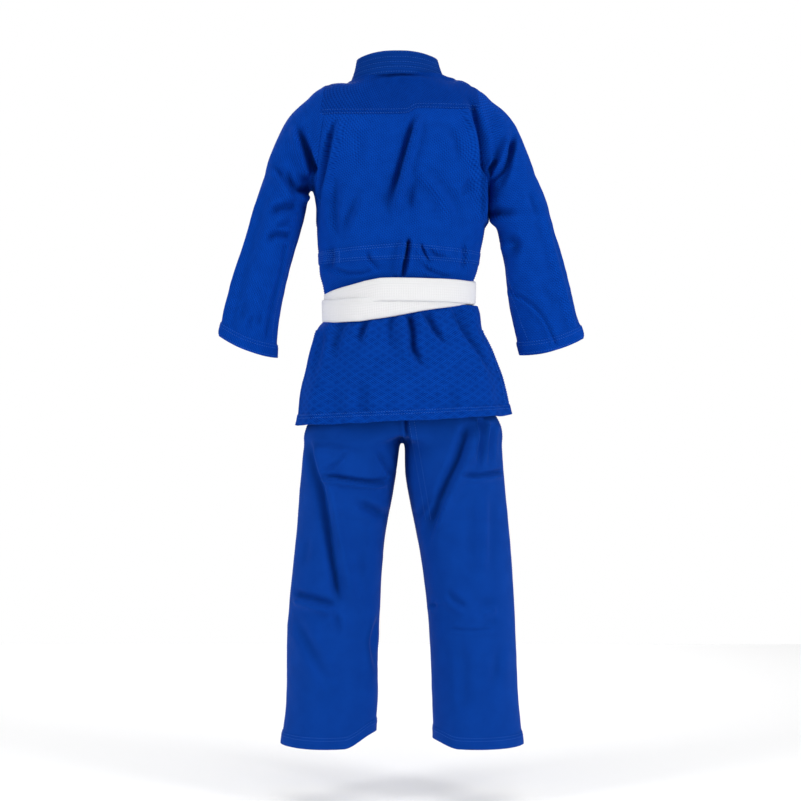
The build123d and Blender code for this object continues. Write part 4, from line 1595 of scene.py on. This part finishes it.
def belt_tail(side, name):
    """Free end of the belt, hanging with a slight bow."""
    node = frame["nodes"][f"belt_tail_{name}"].data
    corners = np.array([v.co[:] for v in node.vertices])
    centre = corners.mean(axis=0)
    axes = np.linalg.eigh(np.cov((corners - centre).T))[1]
    down, across, out = axes[:, 2], axes[:, 1], axes[:, 0]
    down = down if down[2] < 0 else -down
    across = across if across[0] > 0 else -across
    out = out if out[1] < 0 else -out
    reach = np.ptp((corners - centre) @ down)
    width = np.ptp((corners - centre) @ across)
    thick = np.ptp((corners - centre) @ out)
    rails = []
    for t in np.linspace(0, 1, 60):
        bow = 0.0035 * math.sin(math.pi * t) + 0.0012 * math.sin(5 * t + side)
        twist = side * 0.06 * math.sin(math.pi * t)
        spine = centre + down * reach * (t - 0.5) + out * (bow - thick / 2)
        line = [spine + across * width * v + out * (twist * v * width) for v in np.linspace(-0.5, 0.5, 37)]
        rails.append(line)
    rails = np.array(rails)
    away = np.broadcast_to(out, rails.shape)
    piece = band(f"belt_tail_{name}_cloth", rails, away, BELT_CLOTH, belt_cotton,
                 grooves=BELT_ROWS, groove_depth=0.00035)
    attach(piece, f"belt_tail_{name}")
    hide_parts(f"belt_tail_{name}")


def belt_root(name):
    """Short stretch of the belt between the knot and the top of a tail."""
    low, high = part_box("belt_knot")
    middle = (low + high) / 2
    top = Vector(joint(f"belt_tail_{name}_swing")["pos_m"])
    tail_low, tail_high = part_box(f"belt_tail_{name}")
    lean = ((tail_low.x + tail_high.x) / 2 - top.x) / (top.z - (tail_low.z + tail_high.z) / 2)
    down = np.array([math.sin(math.atan(lean)), 0, -math.cos(math.atan(lean))])
    across = np.array([-down[2], 0, down[0]])
    foot = np.array([top.x, tail_high.y - 0.0046, top.z]) + down * 0.0012
    rails = []
    for t in np.linspace(0, 1, 14):
        spine = foot - down * 0.026 * (1 - t)
        spine[1] += (middle.y - 0.002 - foot[1]) * (1 - t) ** 1.5
        width = BELT_WIDTH * (0.62 + 0.38 * t ** 0.7)
        rails.append([spine + across * width * v for v in np.linspace(-0.5, 0.5, 37)])
    rails = np.array(rails)
    away = face_normals(rails, np.array(middle[:]) + np.array([0, 0.2, 0]))
    piece = band(f"belt_root_{name}", rails, away, BELT_CLOTH, belt_cotton,
                 grooves=BELT_ROWS, groove_depth=0.00035)
    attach(piece, "jacket")


belt_knot()
for side, name in ((1, "left"), (-1, "right")):
    belt_tail(side, name)
    belt_root(name)

# ================================================================ trousers
MID_LEG = -0.380
LEG_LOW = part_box("leg_hem_left")[0].z
WAIST_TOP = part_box("trouser_waistband")[1].z
WAIST_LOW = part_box("trouser_waistband")[0].z
LEFT_LEG_FOLDS = [
    ([(136, -303), (90, -310), (50, -316), (16, -312)], 5.0, 4.0, 0.7, (0.1, 0.15)),
    ([(132, -298), (106, -280), (84, -254)], 2.0, 4.5, 0, (0.1, 0.3)),
    ([(42, -255), (28, -282), (14, -306)], 2.4, 5, 0, (0.3, 0.1)),
    ([(158, -248), (110, -252), (54, -260)], 1.6, 5, 0, (0.2, 0.3)),
    ([(162, -236), (147, -299), (134, -324), (120, -403), (100, -540)], 6.5, 9.5, -0.7, (0.1, 0.12)),
    ([(80, -348), (50, -362), (22, -380)], 4.5, 9, 0, (0.3, 0.2)),
    ([(190, -508), (150, -517), (106, -529)], 4.5, 7, 0.7, (0.15, 0.15)),
    ([(113, -538), (106, -560), (101, -582)], 2.2, 6, 0.3, (0.2, 0.4)),
    ([(184, -542), (150, -610), (110, -690)], 3.0, 11, 0, (0.2, 0.4)),
    ([(44, -542), (58, -590), (46, -668)], 3.5, 6, 0, (0.2, 0.3)),
    ([(70, -420), (64, -500)], 2.0, 10, 0, (0.3, 0.3)),
    ([(160, -400), (172, -470)], 2.0, 9, 0, (0.3, 0.3)),
]
RIGHT_LEG_FOLDS = [
    ([(-8, -204), (-9, -232), (-14, -262)], 4.5, 4, 0.4, (0.05, 0.2)),
    ([(-116, -208), (-100, -271), (-74, -330), (-42, -430)], 7.0, 9, -0.4, (0.1, 0.2)),
    ([(-132, -205), (-132, -300)], 4.5, 5, 0, (0.05, 0.35)),
    ([(-150, -214), (-150, -294)], 3.5, 5, 0, (0.05, 0.35)),
    ([(-92, -301), (-130, -304), (-178, -297)], 3.5, 4.5, 0.4, (0.25, 0.1)),
    ([(-141, -318), (-142, -400), (-142, -504)], -4.0, 10, 0, (0.2, 0.3)),
    ([(-52, -526), (-60, -536)], 3.0, 6, 0, (0.3, 0.3)),
    ([(-79, -498), (-92, -520), (-116, -531)], 2.4, 7, 0.4, (0.25, 0.2)),
    ([(-134, -540), (-168, -536)], -3.0, 9, 0, (0.3, 0.2)),
    ([(-74, -567), (-120, -570), (-168, -566)], 1.5, 3.5, 0, (0.2, 0.2)),
    ([(-60, -330), (-30, -380)], 3.0, 8, 0, (0.3, 0.2)),
    ([(-100, -580), (-112, -640), (-108, -720)], 2.2, 12, 0, (0.3, 0.2)),
    ([(-168, -590), (-160, -680)], 2.2, 10, 0, (0.3, 0.3)),
]
FRONT_LEG_FOLDS = [
    ([(s * a, b) for a, b in path], depth, width, 0, (0.2, 0.3))
    for s in (1, -1)
    for path, depth, width in (
        ([(20, -214), (60, -250), (110, -262)], 4.0, 7),
        ([(16, -240), (50, -296), (120, -330)], 3.5, 8),
        ([(100, -300), (112, -380), (104, -450)], 2.5, 12),
        ([(60, -520), (110, -536), (170, -528)], 3.0, 8),
        ([(70, -570), (120, -590), (176, -580)], 2.5, 8),
        ([(120, -620), (130, -740)], 2.5, 14),
    )
]
LOWER_FOLDS = [(BACK, 1.6, *f) for f in LEFT_LEG_FOLDS + RIGHT_LEG_FOLDS]
LOWER_FOLDS += [(FRONT, 1.3, *f) for f in FRONT_LEG_FOLDS]
TROUSER_NUDGES = [
    ((0, -266), (20, 28), (-3, 17)),
    ((-166, -212), (40, 22), (-6, 0)),
    ((196, -400), (40, 150), (-4, 0)),
    ((204, -740), (40, 160), (-5, 0)),
    ((46, -540), (36, 110), (-8, 0)),
    ((44, -740), (36, 120), (-7, 0)),
    ((-50, -760), (36, 140), (-9, 0)),
    ((-166, -240), (40, 70), (-8, 0)),
    ((-190, -420), (40, 120), (-4, 0)),
]
lower = merged([seat_tube(), leg_tube(1), leg_tube(-1)], MESH_STEP, 4)
x, y, z = lower.points.T
hips = smoothstep(-0.150, -0.190, z) * smoothstep(-0.350, -0.300, z)
relax(lower, 60, hips * 0.9)
move = swell(lower, 0.12, 0.0045, 13, (1, 1, 0.6)) + crumple(lower, 0.045, 0.0010, 15)
move = folded(move, lower, LOWER_FOLDS)
outer = smoothstep(0.10, 0.14, np.abs(x))
move -= 0.0010 * np.exp(-((y / 0.003) ** 2)) * outer
move -= 0.0016 * np.exp(-((x / 0.004) ** 2))
move *= smoothstep(WAIST_TOP, WAIST_LOW - 0.03, z) * 0.9 + 0.1
lower.points += lower.normals * move[:, None]
nudge_all(lower, TROUSER_NUDGES)
lower.find_normals()
trousers = lower.keep(lambda x, y, z: WAIST_TOP - z).keep(lambda x, y, z: z - LEG_LOW)


def hem_rise(x):
    """How much the trouser hems climb towards the inside of each leg."""
    return 0.022 * smoothstep(0.098, 0.044, x) * (x > 0) + 0.009 * smoothstep(-0.100, -0.058, x) * (x < 0)


trousers.points[:, 2] += hem_rise(trousers.points[:, 0]) * smoothstep(-0.60, -0.74, trousers.points[:, 2])
trousers.find_normals()


def leg_seams(side):
    """Rows of stitching beside the inner and outer seams of a leg."""
    def inner_seam(x, y, z):
        return np.where((side * x < 0.10) & (z < HIP.z - 0.05), np.abs(y) - SEAM_GAP, 1.0)

    def outer_seam(x, y, z):
        return np.where(side * x > 0.10, y - SEAM_GAP, 1.0)

    return [inner_seam, outer_seam]


def seat_row(inset):
    """A row beside the seam that runs from the seat down the inside of the right leg."""
    def test(x, y, z):
        return np.where(y > 0, x + 0.0135 + inset + 0.17 * (-0.205 - z), 1.0)
    return test


seat_rows = {1: [], -1: [seat_row(0.0), seat_row(0.0090)]}


def trouser_pieces(side, name):
    """Top and leg of one half of the trousers, with its knee patch and its hem."""
    half = trousers.keep(lambda x, y, z: side * x)
    top = half.keep(lambda x, y, z: z - MID_LEG)
    leg = half.keep(lambda x, y, z: MID_LEG - z)
    piece = build(f"trouser_top_{name}_cloth", top, TWILL, trouser_twill, "leg_top", side,
                  rows=leg_seams(side) + seat_rows[side], folds=LOWER_FOLDS)
    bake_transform(piece)
    nodes = [f"thigh_front_{name}", f"thigh_back_{name}"]
    if side > 0:
        nodes += ["seat_front", "seat_back"]
    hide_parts(*nodes)
    round(top.area(), 3)
    piece = build(f"trouser_leg_{name}_cloth", leg, TWILL, trouser_twill, "leg", side,
                  rows=leg_seams(side), folds=LOWER_FOLDS)
    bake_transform(piece)
    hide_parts(f"shin_front_{name}", f"shin_back_{name}")
    round(leg.area(), 3)

    low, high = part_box(f"knee_patch_{name}")

    def inside(x, y, z):
        return np.minimum(np.minimum(z - low.z, high.z - z), -y - 0.010)

    patch = laid_strip(leg, inside, 0.008, 0.0003, 0.0009)
    piece = build(f"knee_patch_{name}_cloth", patch, 0.0012, trouser_twill, "leg", side,
                  rows=rows_in(inside, 0.0025, 0.0075))
    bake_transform(piece)
    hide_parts(f"knee_patch_{name}")

    def turned(x, y, z):
        return LEG_LOW + 0.022 + hem_rise(x) - z

    hem = laid_strip(leg, turned, 0.008, 0.0003, 0.0007)
    piece = build(f"leg_hem_{name}_cloth", hem, 0.0026, trouser_twill, "leg", side,
                  rows=rows_in(turned, 0.0020, 0.0070))
    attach(piece, f"shin_{name}")
    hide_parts(f"leg_hem_{name}")


for side, name in ((1, "left"), (-1, "right")):
    trouser_pieces(side, name)


def waistband():
    """Gathered casing with the elastic inside it."""
    band_cloth = trousers.keep(lambda x, y, z: z - WAIST_LOW + 0.008).refined()
    band_cloth = band_cloth.keep(lambda x, y, z: z - WAIST_LOW)
    x, y, z = band_cloth.points.T
    angle = np.arctan2(x / 0.113, y / 0.075)
    gathers = 0.0010 * np.sin(64 * angle + 1.5 * np.sin(5 * angle)) * smoothstep(0, 0.006, z - WAIST_LOW)
    rolled = 0.0012 * smoothstep(0, 0.003, z - WAIST_LOW)
    piece = build("waistband_cloth", band_cloth.raised(0.0006 + rolled + gathers), 0.0042, trouser_twill,
                  "leg_top",
                  rows=[lambda x, y, z: z - WAIST_LOW - 0.003, lambda x, y, z: z - WAIST_LOW - 0.018,
                        lambda x, y, z: WAIST_TOP - 0.004 - z])
    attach(piece, "trousers")
    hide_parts("trouser_waistband", "waist_elastic")


def drawstring_loops():
    """Two flat loops on the front of the waistband."""
    low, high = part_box("drawstring_loops")
    for number, side in enumerate((1, -1)):
        x = side * (high.x - 0.0045)
        rails = []
        for t in np.linspace(0, 1, 16):
            z = low.z + (high.z - low.z) * t
            y = high.y - (high.y - low.y - 0.0006) * math.sin(math.pi * t) ** 0.5
            rails.append([(x + v * 0.008, y, z) for v in np.linspace(-0.5, 0.5, 9)])
        rails = np.array(rails)
        away = np.broadcast_to(np.array([0.0, -1.0, 0.0]), rails.shape)
        piece = band(f"drawstring_loop_{number + 1}", rails, away, 0.0010, trouser_twill)
        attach(piece, "trousers")
        if number:
            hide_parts("drawstring_loops")


waistband()
drawstring_loops()


# ================================================================ floor, light and camera
def plain_floor():
    bpy.ops.mesh.primitive_plane_add(size=4.2, location=(0, 0.2, cad_low.z - 0.10))
    floor = bpy.context.object
    floor.name = "floor"
    material, _, _, surface = shader("floor", 0.9, 0.0, 0.0, WHITE_SHINE)
    surface.inputs["Base Color"].default_value = (1.0, 1.0, 1.0, 1)
    floor.data.materials.append(material)


def soft_light(name, place, size, power, aim=(0, 0, -0.15)):
    data = bpy.data.lights.new(name, "AREA")
    data.shape = "RECTANGLE"
    data.size, data.size_y = size
    data.energy = power
    lamp = bpy.data.objects.new(name, data)
    bpy.context.scene.collection.objects.link(lamp)
    lamp.location = place
    lamp.rotation_euler = (Vector(aim) - Vector(place)).to_track_quat("-Z", "Y").to_euler()


def bright_room():
    """White surroundings that light the cloth less than they show."""
    world = bpy.data.worlds.new("studio")
    world.use_nodes = True
    nodes, links = world.node_tree.nodes, world.node_tree.links
    seen = nodes["Background"]
    seen.inputs[0].default_value = (1, 1, 1, 1)
    seen.inputs[1].default_value = 1.0
    lighting = nodes.new("ShaderNodeBackground")
    lighting.inputs[0].default_value = (1, 1, 1, 1)
    lighting.inputs[1].default_value = 0.24
    rays = nodes.new("ShaderNodeLightPath")
    choice = nodes.new("ShaderNodeMixShader")
    links.new(rays.outputs["Is Camera Ray"], choice.inputs[0])
    links.new(lighting.outputs[0], choice.inputs[1])
    links.new(seen.outputs[0], choice.inputs[2])
    links.new(choice.outputs[0], nodes["World Output"].inputs[0])
    bpy.context.scene.world = world


plain_floor()
bright_room()
soft_light("left_strip", (2.3, 1.5, 0.7), (0.9, 2.2), 40)
soft_light("right_strip", (-2.3, 1.7, 0.5), (0.9, 2.2), 48)
soft_light("overhead", (-0.4, 1.8, 2.4), (1.2, 1.0), 8)
soft_light("far_side", (0.5, -2.8, 1.4), (2.0, 1.6), 46)
soft_light("floor_wash", (-0.5, -0.5, 3.2), (4.6, 4.0), 62, (-0.3, -0.5, 0))
bpy.context.scene.view_settings.view_transform = "Standard"

camera_data = bpy.data.cameras.new("camera")
camera_data.sensor_width = 36
camera_data.lens = 76.6
camera = bpy.data.objects.new("camera", camera_data)
bpy.context.scene.collection.objects.link(camera)
camera.location = (0, 3.0, -0.175)
camera.rotation_euler = (math.radians(90), 0, math.radians(180))
bpy.context.scene.camera = camera
